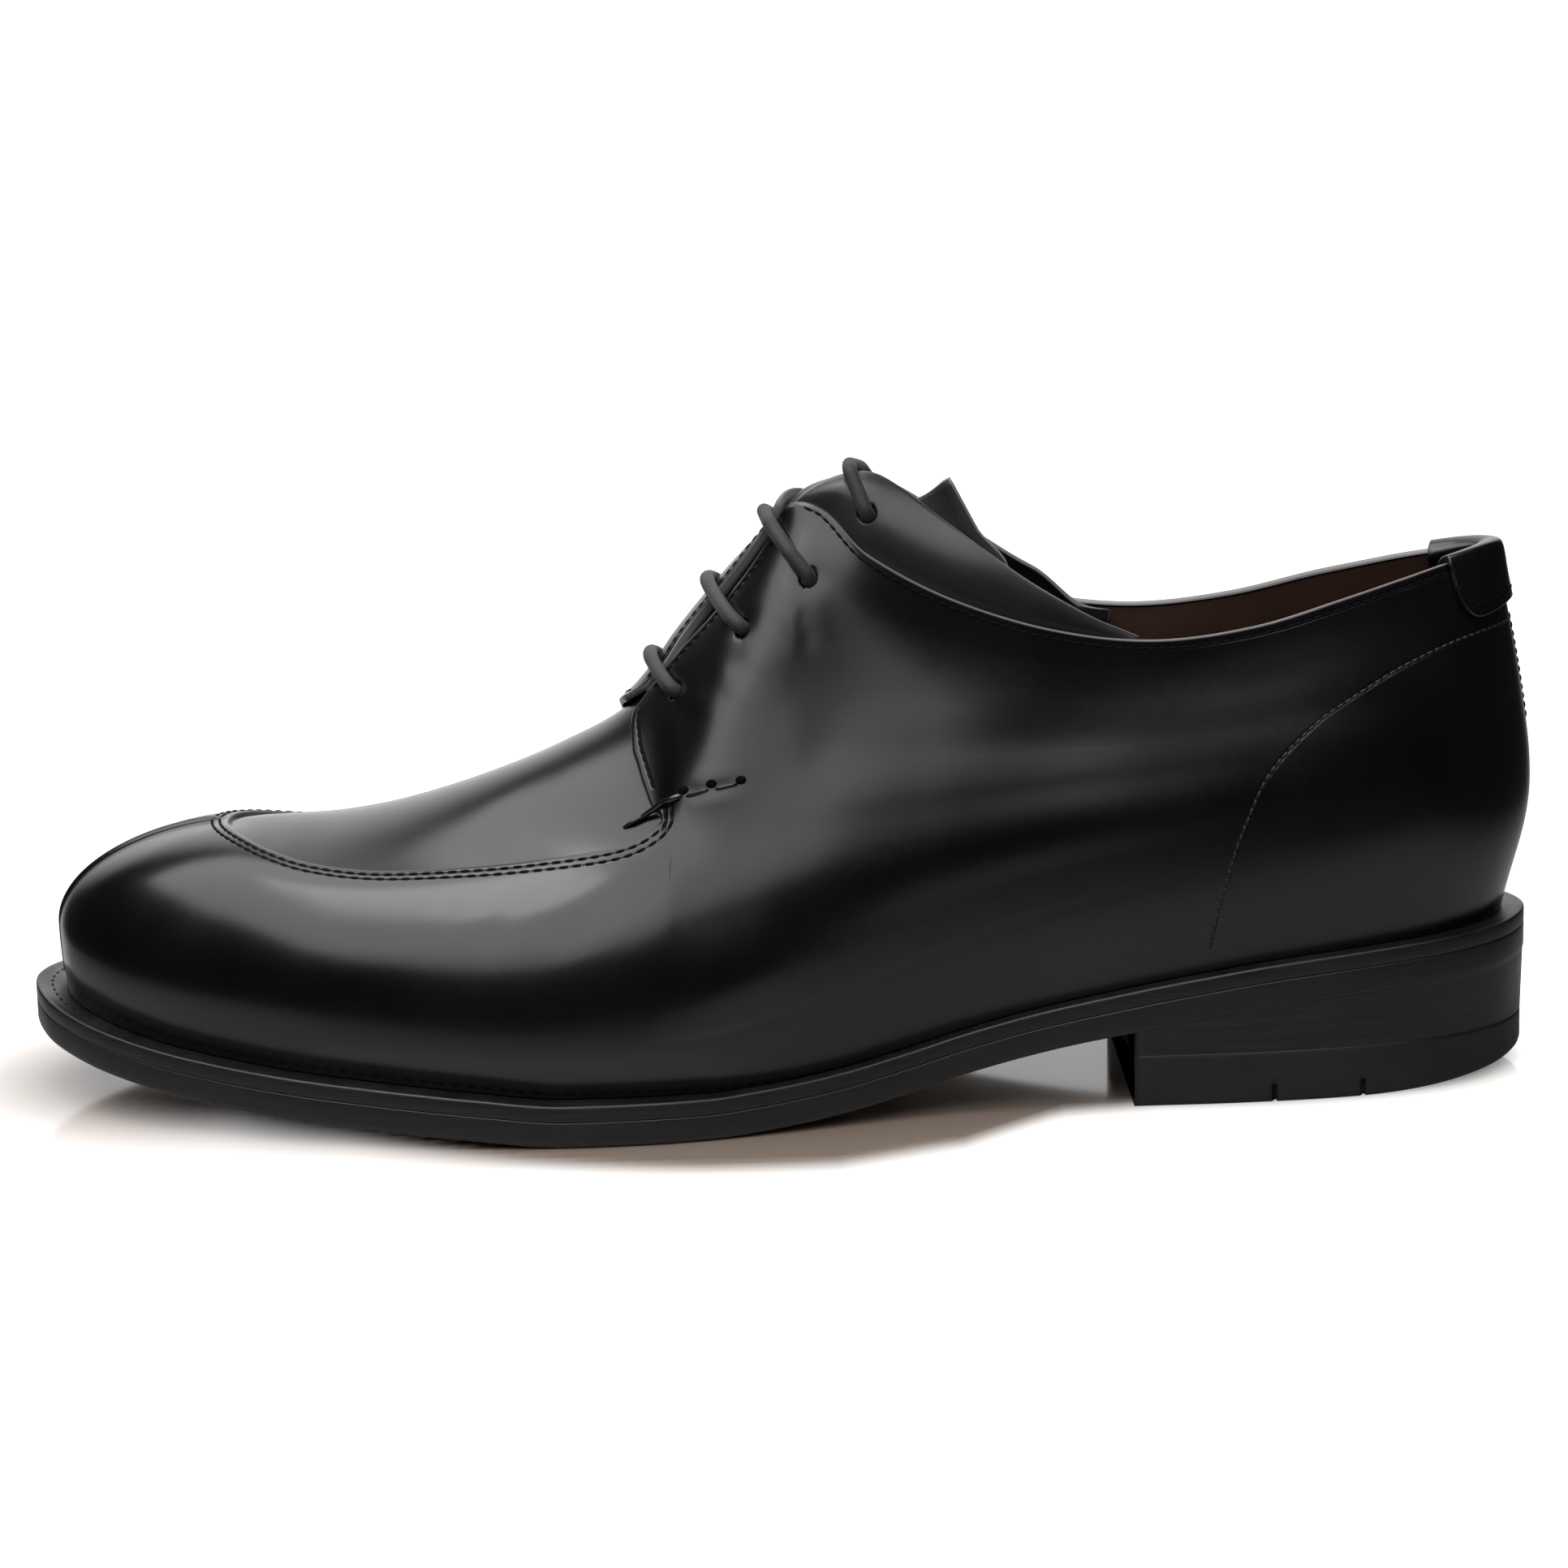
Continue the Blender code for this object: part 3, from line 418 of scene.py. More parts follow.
def calfLeather(name, finish, seams=True, gloss=0.12):
    mat, tree, shader = startMaterial(name, Specular_IOR_Level=0.5, Coat_Weight=gloss, Coat_Roughness=0.2)
    where = objectCoords(tree)
    cloud = noiseField(tree, where, finish["cloudScale"], 4.0)
    fine = noiseField(tree, where, finish["fineScale"], 3.0)
    colour = mixColour(tree, spread(tree, cloud), finish["dark"], finish["worn"])
    if seams:
        # the cut-edge rings take a light grey: partly the raw edge's own tone, partly a painted highlight
        edgeHighlightMask = remap(tree, markField(tree, "cutEdgeHighlight"), 0.25, 0.75, 0.0, 1.0)
        colour = mixColour(tree, edgeHighlightMask, colour, finish["cutEdgeHighlight"])
    rough = mathNode(tree, "ADD", spread(tree, cloud, finish["roughLow"], finish["roughHigh"]),
                     spread(tree, fine, -0.008, 0.008))
    # polished over the toe, duller where the shoe flexes
    apart = addNode(tree, "ShaderNodeSeparateXYZ")
    link(tree, where, apart.inputs[0])
    flex = remap(tree, apart.outputs["X"], finish["flexFrom"], finish["flexTo"], 0.0, finish["flexRough"])
    rough = mathNode(tree, "ADD", rough, flex)
    pores = addNode(tree, "ShaderNodeTexVoronoi", feature="DISTANCE_TO_EDGE")
    pores.inputs["Scale"].default_value = finish["poreScale"]
    link(tree, where, pores.inputs["Vector"])
    grain = mathNode(tree, "ADD", remap(tree, pores.outputs["Distance"], 0.0, 0.25, 0.0, finish["poreDeep"]),
                     noiseField(tree, where, finish["creaseScale"], 3.0))
    normal = bumpOn(tree, grain, 0.00003, finish["grainBump"])
    if seams:
        drawn = remap(tree, markField(tree, "seam"), 0.0, 0.7, 0.0, 1.0)
        normal = bumpOn(tree, drawn, 0.00014, finish["seamBump"], normal)
    wire(tree, shader, Base_Color=colour, Roughness=rough, Normal=normal)
    return mat


upperCalf = calfLeather("blackCalf", calfFinish)
stayCalf = calfLeather("stayThong", calfFinish, seams=False, gloss=0.3)
# collar and tongue cut edges are lighter still: a painted highlight along their top edges
bandCalf = calfLeather("collarCalf", dict(
    calfFinish, dark=(0.006, 0.006, 0.0068), worn=(0.011, 0.0108, 0.0108),
    cutEdgeHighlight=(0.15, 0.145, 0.14), roughLow=0.30, roughHigh=0.38))
tongueCalf = calfLeather("tongueCalf", dict(
    calfFinish, cutEdgeHighlight=(0.15, 0.145, 0.14), roughLow=0.42, roughHigh=0.54), gloss=0.05)
tabCalf = calfLeather("tabCalf", dict(calfFinish, cutEdgeHighlight=(0.011, 0.011, 0.0115)))


def mattFinish(name, gloss, dark, light, rough, cloudScale, detail, grainScale):
    mat, tree, shader = startMaterial(name, Specular_IOR_Level=gloss)
    where = objectCoords(tree)
    cloud = noiseField(tree, where, cloudScale, detail)
    grain = noiseField(tree, where, grainScale, 3.0)
    wire(tree, shader, Base_Color=mixColour(tree, spread(tree, cloud), dark, light),
         Roughness=spread(tree, cloud, *rough), Normal=bumpOn(tree, grain, 0.00008, 0.5))
    return mat


def threadFinish(name, colour, light, rough, gloss):
    mat, tree, shader = startMaterial(name, Roughness=rough, Specular_IOR_Level=gloss)
    where = objectCoords(tree)
    strands = remap(tree, noiseField(tree, where, 2600.0, 2.0), 0.35, 0.65, 0.0, 1.0)
    fuzz = noiseField(tree, where, 5200.0, 2.0)
    wire(tree, shader, Base_Color=mixColour(tree, strands, colour, light),
         Normal=bumpOn(tree, fuzz, 0.00006, 0.6))
    return mat


def awlHoleShade():
    # a near-black finish for the discs at stitch holes: painted shade standing for the inside of each hole
    mat, tree, shader = startMaterial("awlHoleShade", Roughness=0.9, Specular_IOR_Level=0.05)
    shadeSpeckle = noiseField(tree, objectCoords(tree), 800.0)
    wire(tree, shader, Base_Color=mixColour(tree, shadeSpeckle, (0.0012, 0.0012, 0.0013), (0.003, 0.003, 0.003)))
    return mat


def laceFinish():
    # the braid runs on the cord's own UV map: along, then around
    mat, tree, shader = startMaterial("waxedLace", Specular_IOR_Level=0.4,
                                      Sheen_Weight=0.1, Sheen_Roughness=0.4)
    uv = addNode(tree, "ShaderNodeUVMap", uv_map="braid")
    waves = []
    for turn in (1.0, -1.0):
        shear = addNode(tree, "ShaderNodeMapping")
        shear.inputs["Rotation"].default_value = (0.0, 0.0, turn * 0.785)
        link(tree, uv.outputs["UV"], shear.inputs["Vector"])
        wave = addNode(tree, "ShaderNodeTexWave", wave_profile="SIN", bands_direction="X")
        wave.inputs["Scale"].default_value = 2.6
        wave.inputs["Distortion"].default_value = 0.6
        link(tree, shear.outputs["Vector"], wave.inputs["Vector"])
        waves.append(wave.outputs["Fac"])
    braid = mathNode(tree, "MAXIMUM", waves[0], waves[1])
    wire(tree, shader, Base_Color=mixColour(tree, braid, (0.008, 0.008, 0.009), (0.026, 0.026, 0.029)),
         Roughness=remap(tree, braid, 0.0, 1.0, 0.62, 0.48), Normal=bumpOn(tree, braid, 0.00014, 0.6))
    return mat


def edgeFinish(name, dark, light, streak):
    # burnished leather edge: fine lines run along the sole
    mat, tree, shader = startMaterial(name, Specular_IOR_Level=0.4, Coat_Weight=0.08, Coat_Roughness=0.3)
    lines = noiseField(tree, objectCoords(tree, (30.0, 30.0, streak)), 1.0, 5.0, 0.65)
    cloud = noiseField(tree, objectCoords(tree), 60.0, 4.0)
    wire(tree, shader, Base_Color=mixColour(tree, spread(tree, lines), dark, light),
         Roughness=spread(tree, cloud, 0.36, 0.52), Normal=bumpOn(tree, lines, 0.00012, 0.45))
    return mat


def soleFinish():
    # black burnished edge, tan leather underneath; the mark "tan" says which
    mat, tree, shader = startMaterial("soleLeather", Specular_IOR_Level=0.45)
    where = objectCoords(tree)
    cloud = noiseField(tree, where, 35.0, 5.0)
    lines = noiseField(tree, objectCoords(tree, (30.0, 30.0, 2200.0)), 1.0, 5.0, 0.65)
    black = mixColour(tree, spread(tree, lines), (0.0035, 0.0035, 0.0044), (0.009, 0.009, 0.0098))
    tan = mixColour(tree, spread(tree, cloud), (0.23, 0.125, 0.062), (0.36, 0.21, 0.115))
    worn = noiseField(tree, where, 160.0, 4.0)
    tan = mixColour(tree, remap(tree, worn, 0.55, 0.75, 0.0, 0.45), tan, (0.14, 0.075, 0.04))
    part = mathNode(tree, "ADD", markField(tree, "tan"), spread(tree, worn, -0.12, 0.12))
    under = remap(tree, part, 0.42, 0.58, 0.0, 1.0)
    grain = noiseField(tree, where, 1100.0, 3.0)
    wire(tree, shader, Base_Color=mixColour(tree, under, black, tan),
         Roughness=spread(tree, cloud, 0.38, 0.52), Normal=bumpOn(tree, grain, 0.00006, 0.4))
    return mat


blackThread = threadFinish("blackThread", (0.002, 0.002, 0.0024), (0.005, 0.005, 0.0054), rough=0.6, gloss=0.06)
greyThread = threadFinish("greyThread", (0.008, 0.008, 0.0084), (0.02, 0.02, 0.0205), rough=0.45, gloss=0.3)
holeShade = awlHoleShade()
waxedLace = laceFinish()
liningSkin = mattFinish("liningLeather", 0.35, (0.030, 0.013, 0.009), (0.055, 0.024, 0.016),
                        rough=(0.55, 0.7), cloudScale=30.0, detail=5.0, grainScale=900.0)
liftRubber = mattFinish("liftRubber", 0.4, (0.007, 0.007, 0.0076), (0.013, 0.013, 0.0136),
                        rough=(0.5, 0.66), cloudScale=45.0, detail=4.0, grainScale=1500.0)
sockLeather = mattFinish("sockLeather", 0.3, (0.05, 0.022, 0.014), (0.085, 0.04, 0.026),
                         rough=(0.5, 0.68), cloudScale=22.0, detail=5.0, grainScale=1000.0)
soleLeather = soleFinish()
weltLeather = edgeFinish("weltLeather", (0.003, 0.003, 0.0038), (0.008, 0.008, 0.0086), streak=2000.0)
heelLeather = edgeFinish("heelLeather", (0.004, 0.004, 0.005), (0.011, 0.011, 0.0118), streak=900.0)
print("finishes made:", len(bpy.data.materials))


def makePiece(name, verts, faces, mat, nodes=(), marks=None, uv=None):
    mesh = bpy.data.meshes.new(name)
    mesh.from_pydata(toScene(verts).tolist(), [], faces)
    mesh.polygons.foreach_set("use_smooth", [True] * len(mesh.polygons))
    for key, values in (marks or {}).items():
        mesh.attributes.new(key, "FLOAT", "POINT").data.foreach_set("value", np.asarray(values, np.float32))
    if uv is not None:
        layer = mesh.uv_layers.new(name=uv[0])
        corner = np.empty(len(mesh.loops), np.int32)
        mesh.loops.foreach_get("vertex_index", corner)
        layer.data.foreach_set("uv", np.asarray(uv[1], np.float32)[corner].ravel())
    mesh.materials.append(mat)
    mesh.update()
    ob = bpy.data.objects.new(name, mesh)
    scene.collection.objects.link(ob)
    dress(ob, nodes)
    return ob


def dress(ob, nodes=()):
    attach(ob, "root")
    if nodes:
        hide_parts(*nodes)


def graded(start, end, step, spots, fixed):
    # values that crowd together round the spots (place, width, times denser) and pass through the fixed ones
    x = np.linspace(start, end, 8000)
    density = np.ones_like(x)
    for place, width, times in spots:
        density += (times - 1) * np.exp(-((x - place) / width) ** 2)
    total = np.concatenate(([0.0], np.cumsum(0.5 * (density[1:] + density[:-1]) * np.diff(x)))) / step
    out = np.interp(np.linspace(0, total[-1], int(round(total[-1])) + 1), total, x)
    for place in fixed:
        out[np.argmin(np.abs(out - place))] = place
    return np.sort(out)


def eased(line, passes):
    for k in range(passes):
        line[1:-1] = 0.25 * line[:-2] + 0.5 * line[1:-1] + 0.25 * line[2:]
    return line


def gridFaces(columns, rows, flip=False, start=0):
    faces = []
    for i in range(columns - 1):
        for j in range(rows - 1):
            k = start + i * rows + j
            quad = [k, k + rows, k + rows + 1, k + 1]
            faces.append(quad[::-1] if flip else quad)
    return faces


def gridRim(columns, rows):
    rim = [(i, 0) for i in range(columns)] + [(columns - 1, j) for j in range(1, rows)]
    rim += [(i, rows - 1) for i in range(columns - 2, -1, -1)] + [(0, j) for j in range(rows - 2, 0, -1)]
    return rim


def lengthAlong(line):
    return np.concatenate(([0.0], np.cumsum(np.linalg.norm(np.diff(line, axis=0), axis=1))))


def pointsAt(line, at):
    total = lengthAlong(line)
    return np.stack([np.interp(at, total, line[:, k]) for k in range(3)], 1)


def lineDistance(points, line):
    # distance from each point to a line of short pieces, and where along it
    best = np.full(len(points), 1e9)
    where = np.zeros(len(points))
    for k, (a, b) in enumerate(zip(line[:-1], line[1:])):
        step = b - a
        f = np.clip((points - a) @ step / max(step @ step, 1e-12), 0.0, 1.0)
        d = np.sum((points - a - f[:, None] * step) ** 2, axis=1)
        closer = d < best
        best[closer] = d[closer]
        where[closer] = k + f[closer]
    return np.sqrt(best), where / max(len(line) - 1, 1)


def meshTree(*obs):
    verts, faces = [], []
    for ob in obs:
        start = len(verts)
        verts += [v.co.copy() for v in ob.data.vertices]
        faces += [[start + k for k in f.vertices] for f in ob.data.polygons]
    return BVHTree.FromPolygons(verts, faces)


# upper: two long side panels, the sunk apron between them and the lining

panelShape = {
    "columnStep": 0.062, "rowStep": 0.029,
    "edgeOut": 0.5, "seamDepth": 1.35, "topDepth": 2.6,
    "ridgeHigh": 0.9, "ridgeHalf": 1.5, "slitDeep": 0.75, "slitHalf": 0.3,
    "eyeletRadius": 1.62, "eyeletDeep": 1.8,
    "eyelets": ((11.45, 2.74), (10.15, 2.65), (8.80, 2.71)),
    "dimpleDeep": 0.35, "dimpleHalf": 3.4,  # the leather draws in round an eyelet
    "backDeep": 0.35, "backHalf": 0.7,
    "cornerHigh": 0.8, "cornerAt": (12.0, 1.97), "cornerWide": (0.5, 0.13),
    "innerTuck": 0.6,
    # the cut edge, from the face down: share of edgeOut, drop, share of the depth
    "rounding": ((0.6, 0.12, 0.0), (1.0, 0.5, 0.0), (0.95, 0.0, 1.0)),
}

# how far the front edge of the quarter stands before (+) or behind (-) its rib, by height on the rib
frontEdge = np.array((
    (1.55, 0.0), (1.8, -0.12), (2.0, -0.33), (2.08, -0.25), (2.14, -0.15), (2.24, -0.05), (2.38, 0.05),
    (2.6, 0.15), (2.8, 0.15), (2.93, 0.08), (3.0, -0.18)))

# creases in rib and height: path, half width, depth, how much of a ridge stands beside it
panelCreases = (
    {"path": ((8.95, 2.60), (8.7, 2.50), (8.5, 2.44)), "half": 1.6, "deep": 0.09, "ridge": 0.4},
    {"path": ((10.15, 2.55), (10.0, 2.44), (9.8, 2.36)), "half": 2.0, "deep": 0.13, "ridge": 0.5},
    {"path": ((10.25, 2.56), (10.3, 2.42), (10.32, 2.30)), "half": 1.8, "deep": 0.09, "ridge": 0.5},
    {"path": ((11.40, 2.66), (11.25, 2.52), (11.15, 2.40)), "half": 2.4, "deep": 0.18, "ridge": 0.5},
    {"path": ((11.2, 2.62), (10.9, 2.56), (10.6, 2.52)), "half": 1.8, "deep": 0.08, "ridge": 0.5},
    {"path": ((9.6, 2.60), (9.3, 2.50), (9.0, 2.40)), "half": 1.6, "deep": 0.06, "ridge": 0.5},
    {"path": ((11.5, 2.00), (10.9, 1.92), (10.0, 1.82)), "half": 4.5, "deep": 0.2, "ridge": 0.3},
    {"path": ((11.05, 2.06), (10.4, 2.02), (9.7, 2.00)), "half": 1.4, "deep": 0.12, "ridge": 0.35},
    {"path": ((12.2, 1.80), (12.6, 1.62), (12.9, 1.45)), "half": 3.0, "deep": 0.12, "ridge": 0.4},
    {"path": ((13.1, 1.86), (13.3, 1.66), (13.5, 1.46)), "half": 2.4, "deep": 0.08, "ridge": 0.4},
    {"path": ((13.9, 1.84), (14.0, 1.66), (14.15, 1.5)), "half": 2.0, "deep": 0.06, "ridge": 0.4},
)

# how far the worn leather stands off the last: ribs 11.2 to 2.4 by 0.8 down, heights 0.9 to 3.0 by 0.3 across
quarterForm = np.array((
    (0.0, 0.4, 0.2, 0.1, 0.3, 0.3, 0.1, -0.3), (0.4, 1.3, 0.4, -0.3, 0.3, 0.4, 0.0, -1.0),
    (0.5, 1.7, 0.6, -0.7, -0.9, -0.8, -0.2, 0.2), (0.4, 1.3, 0.9, -0.6, -1.6, -1.9, -0.4, 3.0),
    (0.2, 0.9, 1.3, -0.4, -2.1, -2.2, -0.6, 3.6), (0.0, 0.6, 1.5, -0.3, -2.0, -2.2, -0.8, 2.6),
    (0.0, 0.5, 1.3, -0.3, -1.7, -1.7, -0.7, 1.3), (0.0, 0.4, 1.1, -0.3, -1.5, -1.4, -0.4, 1.2),
    (0.0, 0.2, 0.6, -0.2, -0.8, -0.6, 0.2, 1.6), (0.0, 0.1, 0.3, -0.1, -0.5, -0.2, 0.7, 1.9),
    (0.0, 0.0, 0.1, 0.0, -0.3, 0.1, 0.9, 2.0), (0.0, 0.0, 0.0, 0.0, -0.1, 0.1, 0.5, 1.0)))


def formRelief(s, t):
    s, t = np.broadcast_arrays(np.asarray(s, float), np.asarray(t, float))
    down = np.clip((11.2 - s.ravel()) / 0.8, 0.0, 11.0)
    across = np.clip((t.ravel() - 0.9) / 0.3, 0.0, 7.0)
    fade = (1.0 - smooth(s.ravel(), 11.2, 11.9)) * smooth(s.ravel(), 1.5, 2.4)
    rows = tableAt(quarterForm, down) * fade[:, None]
    rows = np.hstack((rows[:, :1], rows, 2 * rows[:, -1:] - rows[:, -2:-1]))
    i = np.minimum(across.astype(int), 6)
    f = across - i
    k = np.arange(len(i))
    return throughFour(*(rows[k, i + n] for n in range(4)), f).reshape(s.shape)


rollShape = {"ribStep": 0.1, "foot": 1.5, "heightStep": 0.025, "evenFrom": 1.72, "evenTo": 2.28, "passes": 60}


def softRoll(s, t, side):
    # where the facing rolls softly into the quarter: how far the leather leaves the last
    shape = rollShape
    rib, high = np.meshgrid(np.arange(0.0, 12.41, shape["ribStep"]),
                            np.arange(shape["foot"], 3.001, shape["heightStep"]), indexing="ij")
    facing = smooth(rib, 7.2, 8.4) * (1 - smooth(rib, 10.8, 11.8))
    facing = facing * smooth(high, 2.0, 2.35) * (1 - smooth(high, 2.93, 3.0))
    first = skinAt(rib, high, side)[0]
    # one even curve across the middle of the rib, away from the apron
    low, top = shape["evenFrom"], shape["evenTo"]
    ends = [skinAt(rib, np.full(rib.shape, h), side)[0] for h in (low, low + 0.01, top, top - 0.01)]
    reach = (top - low) / 0.01
    f = np.clip((high - low) / (top - low), 0.0, 1.0)[..., None]
    even = hermite(ends[0], ends[2], (ends[1] - ends[0]) * reach, (ends[2] - ends[3]) * reach, f)
    middle = smooth(rib, 0.5, 1.5) * (1 - smooth(rib, 9.4, 10.6)) * (high > low) * (high < top)
    p = first + (even - first) * middle[..., None]
    soft = facing[1:-1, 1:-1, None] * 0.5
    for k in range(shape["passes"]):
        beside = 0.35 * (p[:-2, 1:-1] + p[2:, 1:-1]) + 0.15 * (p[1:-1, :-2] + p[1:-1, 2:])
        p[1:-1, 1:-1] += soft * (beside - p[1:-1, 1:-1])
    moved = p - first
    out = np.zeros(s.shape + (3,))
    pick = (s < 12.3) & (t > 1.53)
    rows = tableAt(moved.reshape(len(moved), -1), s[pick] / shape["ribStep"]).reshape(-1, moved.shape[1], 3)
    place = np.clip((t[pick] - shape["foot"]) / shape["heightStep"], 0.0, moved.shape[1] - 1.001)
    i = place.astype(int)
    k = np.arange(len(i))
    four = (rows[k, np.clip(i + n, 0, moved.shape[1] - 1)] for n in (-1, 0, 1, 2))
    out[pick] = throughFour(*four, (place - i)[:, None])
    return out


def levelled(n):
    # relief stands out sideways more than up
    return unit(n * np.array((1.0, 1.0, 0.3)))


def creaseRelief(points, side, finest=0.0):
    out = np.zeros(len(points))
    for crease in panelCreases:
        if crease["half"] < finest:
            continue
        path = smoothPath(crease["path"], 30)
        line = skinAt(path[:, 0], path[:, 1], side)[0]
        d, u = lineDistance(points, line)
        fade = smooth(u, 0.0, 0.25) * (1 - smooth(u, 0.6, 1.0)) * 0.9 + 0.1
        d = d / crease["half"]
        out += crease["deep"] * fade * (crease["ridge"] * np.exp(-((d - 1.9) / 0.9) ** 2) - np.exp(-d ** 2))
    return out


def shifted(sigma, t):
    # grid lines bend so that line 12 is the front edge of the quarter
    bend = np.interp(t, frontEdge[:, 0], frontEdge[:, 1])
    near = smooth(sigma, 10.6, 12.0) * (1.0 - smooth(sigma, 12.0, 13.6))
    corner = (1.0 - smooth(sigma, 12.0, 12.55)) * smooth(sigma, 11.2, 12.0)
    facing = smooth(sigma, 8.9, 9.7) * (1.0 - smooth(sigma, 10.8, 11.8))
    lift = 0.06 * corner * np.exp(-((t - 2.0) / 0.12) ** 2)
    trim = 0.05 * facing * smooth(t, 2.5, 3.0)
    return np.clip(sigma + bend * near, 0.0, 20.0), np.minimum(t + lift, 3.0) - trim


panelColumns = graded(0.0, 20.0, panelShape["columnStep"],
                      [(12.0, 0.12, 3.5), (20.0, 0.16, 7.0), (0.0, 0.1, 2.5)]
                      + [(s, 0.16, 2.4) for s, t in panelShape["eyelets"]], (0.0, 12.0, 20.0))
panelRows = graded(0.0, 3.0, panelShape["rowStep"],
                   [(2.0, 0.05, 2.5), (3.0, 0.04, 2.5), (2.7, 0.08, 2.0)], (0.0, 2.0, 3.0))


def panelRelief(p, s, t, side):
    shape = panelShape
    flat = p.reshape(-1, 3)
    out = np.zeros(len(flat))
    mid = skinAt(np.full(len(panelRows), 20.0), panelRows, side)[0]
    off = np.linalg.norm(p - mid[None, :, :], axis=2).ravel()
    toe = np.exp(-(off / shape["ridgeHalf"]) ** 2) * shape["ridgeHigh"]
    toe = toe - np.exp(-(off / shape["slitHalf"]) ** 2) * shape["slitDeep"]
    inToe = (smooth(t, 0.02, 0.2) * (1 - smooth(t, 1.93, 2.0)) * (s > 19)).ravel()
    out += toe * inToe
    back = skinAt(np.zeros(len(panelRows)), panelRows, side)[0]
    off = np.linalg.norm(p - back[None, :, :], axis=2).ravel()
    out -= shape["backDeep"] * np.exp(-(off / shape["backHalf"]) ** 2) * (s.ravel() < 1)
    out += creaseRelief(flat, side)
    (cs, ct), (ws, wt) = shape["cornerAt"], shape["cornerWide"]
    out += (shape["cornerHigh"] * np.exp(-((s - cs) / ws) ** 2 - ((t - ct) / wt) ** 2)).ravel()
    if side == med:
        facing = smooth(s, 9.0, 9.6) * (1 - smooth(s, 11.4, 12.2))
        out -= (shape["innerTuck"] * facing * smooth(t, 2.6, 3.0)).ravel()
    for es, et in shape["eyelets"]:
        centre, axis = skinAt(es, et, side)
        away = flat - centre
        away = away - np.outer(away @ axis, axis)
        r = np.linalg.norm(away, axis=1)
        out -= shape["dimpleDeep"] * np.exp(-(r / shape["dimpleHalf"]) ** 2)
        out -= shape["eyeletDeep"] * (1 - smooth(r, shape["eyeletRadius"] - 0.45, shape["eyeletRadius"]))
    return out.reshape(p.shape[:2])


def buildPanel(side):
    shape = panelShape
    sigma, height = np.meshgrid(panelColumns, panelRows, indexing="ij")
    s, t = shifted(sigma, height)
    p, n = skinAt(s, t, side)
    relief = n * panelRelief(p, s, t, side)[..., None] + levelled(n) * formRelief(s, t)[..., None]
    p = p + softRoll(s, t, side) + relief
    columns, rows = sigma.shape
    keep = (sigma <= 12.0001) | (height <= 2.0001)
    number = -np.ones(sigma.shape, int)
    number[keep] = np.arange(keep.sum())
    verts = list(p[keep])
    faces = []
    for i in range(columns - 1):
        for j in range(rows - 1):
            quad = [number[i, j], number[i + 1, j], number[i + 1, j + 1], number[i, j + 1]]
            if min(quad) < 0 or (sigma[i, j] >= 11.9999 and height[i, j] >= 1.9999):
                continue
            faces.append(quad if side == med else quad[::-1])
    # the cut edge: along the top line to the front, down the front edge, along the apron to the toe
    front = int(np.argmin(np.abs(panelColumns - 12.0)))
    seam = int(np.argmin(np.abs(panelRows - 2.0)))
    loop = [(i, rows - 1) for i in range(front + 1)]
    loop += [(front, j) for j in range(rows - 2, seam - 1, -1)]
    loop += [(i, seam) for i in range(front + 1, columns)]
    edge = np.array([p[i, j] for i, j in loop])
    normal = np.array([n[i, j] for i, j in loop])
    along = np.gradient(edge, axis=0)
    outward = unit(np.cross(along, normal)) * side
    inside = np.array([p[max(i - 2, 0) if j < rows - 1 and i <= front else i, max(j - 2, 0)]
                       for i, j in loop])
    wrong = np.sum(outward * (edge - inside), axis=1) < 0
    outward[wrong] *= -1
    for k in range(3):
        outward[1:-1] = unit(outward[:-2] + 2 * outward[1:-1] + outward[2:])
    deep = np.array([shape["topDepth"] if j == rows - 1 else shape["seamDepth"] for i, j in loop])[:, None]
    before = [number[i, j] for i, j in loop]
    # the rim rings carry the mark for the cut-edge colour and its painted highlight
    cutEdgeHighlight = [0.0] * len(verts)
    for out, drop, full in shape["rounding"]:
        ring = edge + outward * shape["edgeOut"] * out - normal * (drop + deep * full)
        now = list(range(len(verts), len(verts) + len(ring)))
        verts += list(ring)
        cutEdgeHighlight += [1.0 if full == 0.0 else 0.2] * len(ring)
        for k in range(len(loop) - 1):
            quad = [before[k], before[k + 1], now[k + 1], now[k]]
            faces.append(quad[::-1] if side == lat else quad)
        before = now
    lines = {"edge": edge, "outward": outward, "front": front, "seamStart": front + rows - 1 - seam}
    return np.array(verts), faces, np.array(cutEdgeHighlight), lines


# stitches: where each row runs, then one tree lays the threads

stitchSizes = {
    "fine": {"pitch": 2.6, "length": 1.8, "thread": 0.74, "rise": 0.03, "dip": 0.26, "hole": 0.5},
    "edge": {"pitch": 2.1, "length": 1.45, "thread": 0.62, "rise": 0.03, "dip": 0.22, "hole": 0.45},
    "counter": {"pitch": 1.85, "length": 1.3, "thread": 0.62, "rise": 0.1, "dip": 0.2, "hole": 0.4},
    "tab": {"pitch": 1.9, "length": 1.3, "thread": 0.55, "rise": 0.03, "dip": 0.2, "hole": 0.4},
    "stay": {"pitch": 0.0, "length": 1.5, "thread": 0.5, "rise": 0.05, "dip": 0.2, "hole": 2.4},
    "welt": {"pitch": 3.3, "length": 2.4, "thread": 0.7, "rise": 0.0, "dip": 0.4, "hole": 0.8},
}


def evenSteps(line, pitch):
    total = lengthAlong(line)[-1]
    count = max(int(total / pitch), 2)
    return pointsAt(line, (np.arange(count) + 0.5) * total / count)


def settle(line, tree):
    # drop a line on to the leather
    spots, ups = [], []
    for q in toScene(line):
        spot, up, face, gap = tree.find_nearest(Vector(q))
        spots.append(np.array(spot) / 0.001 - lastShift)
        ups.append(np.array(up))
    return np.array(spots), np.array(ups)


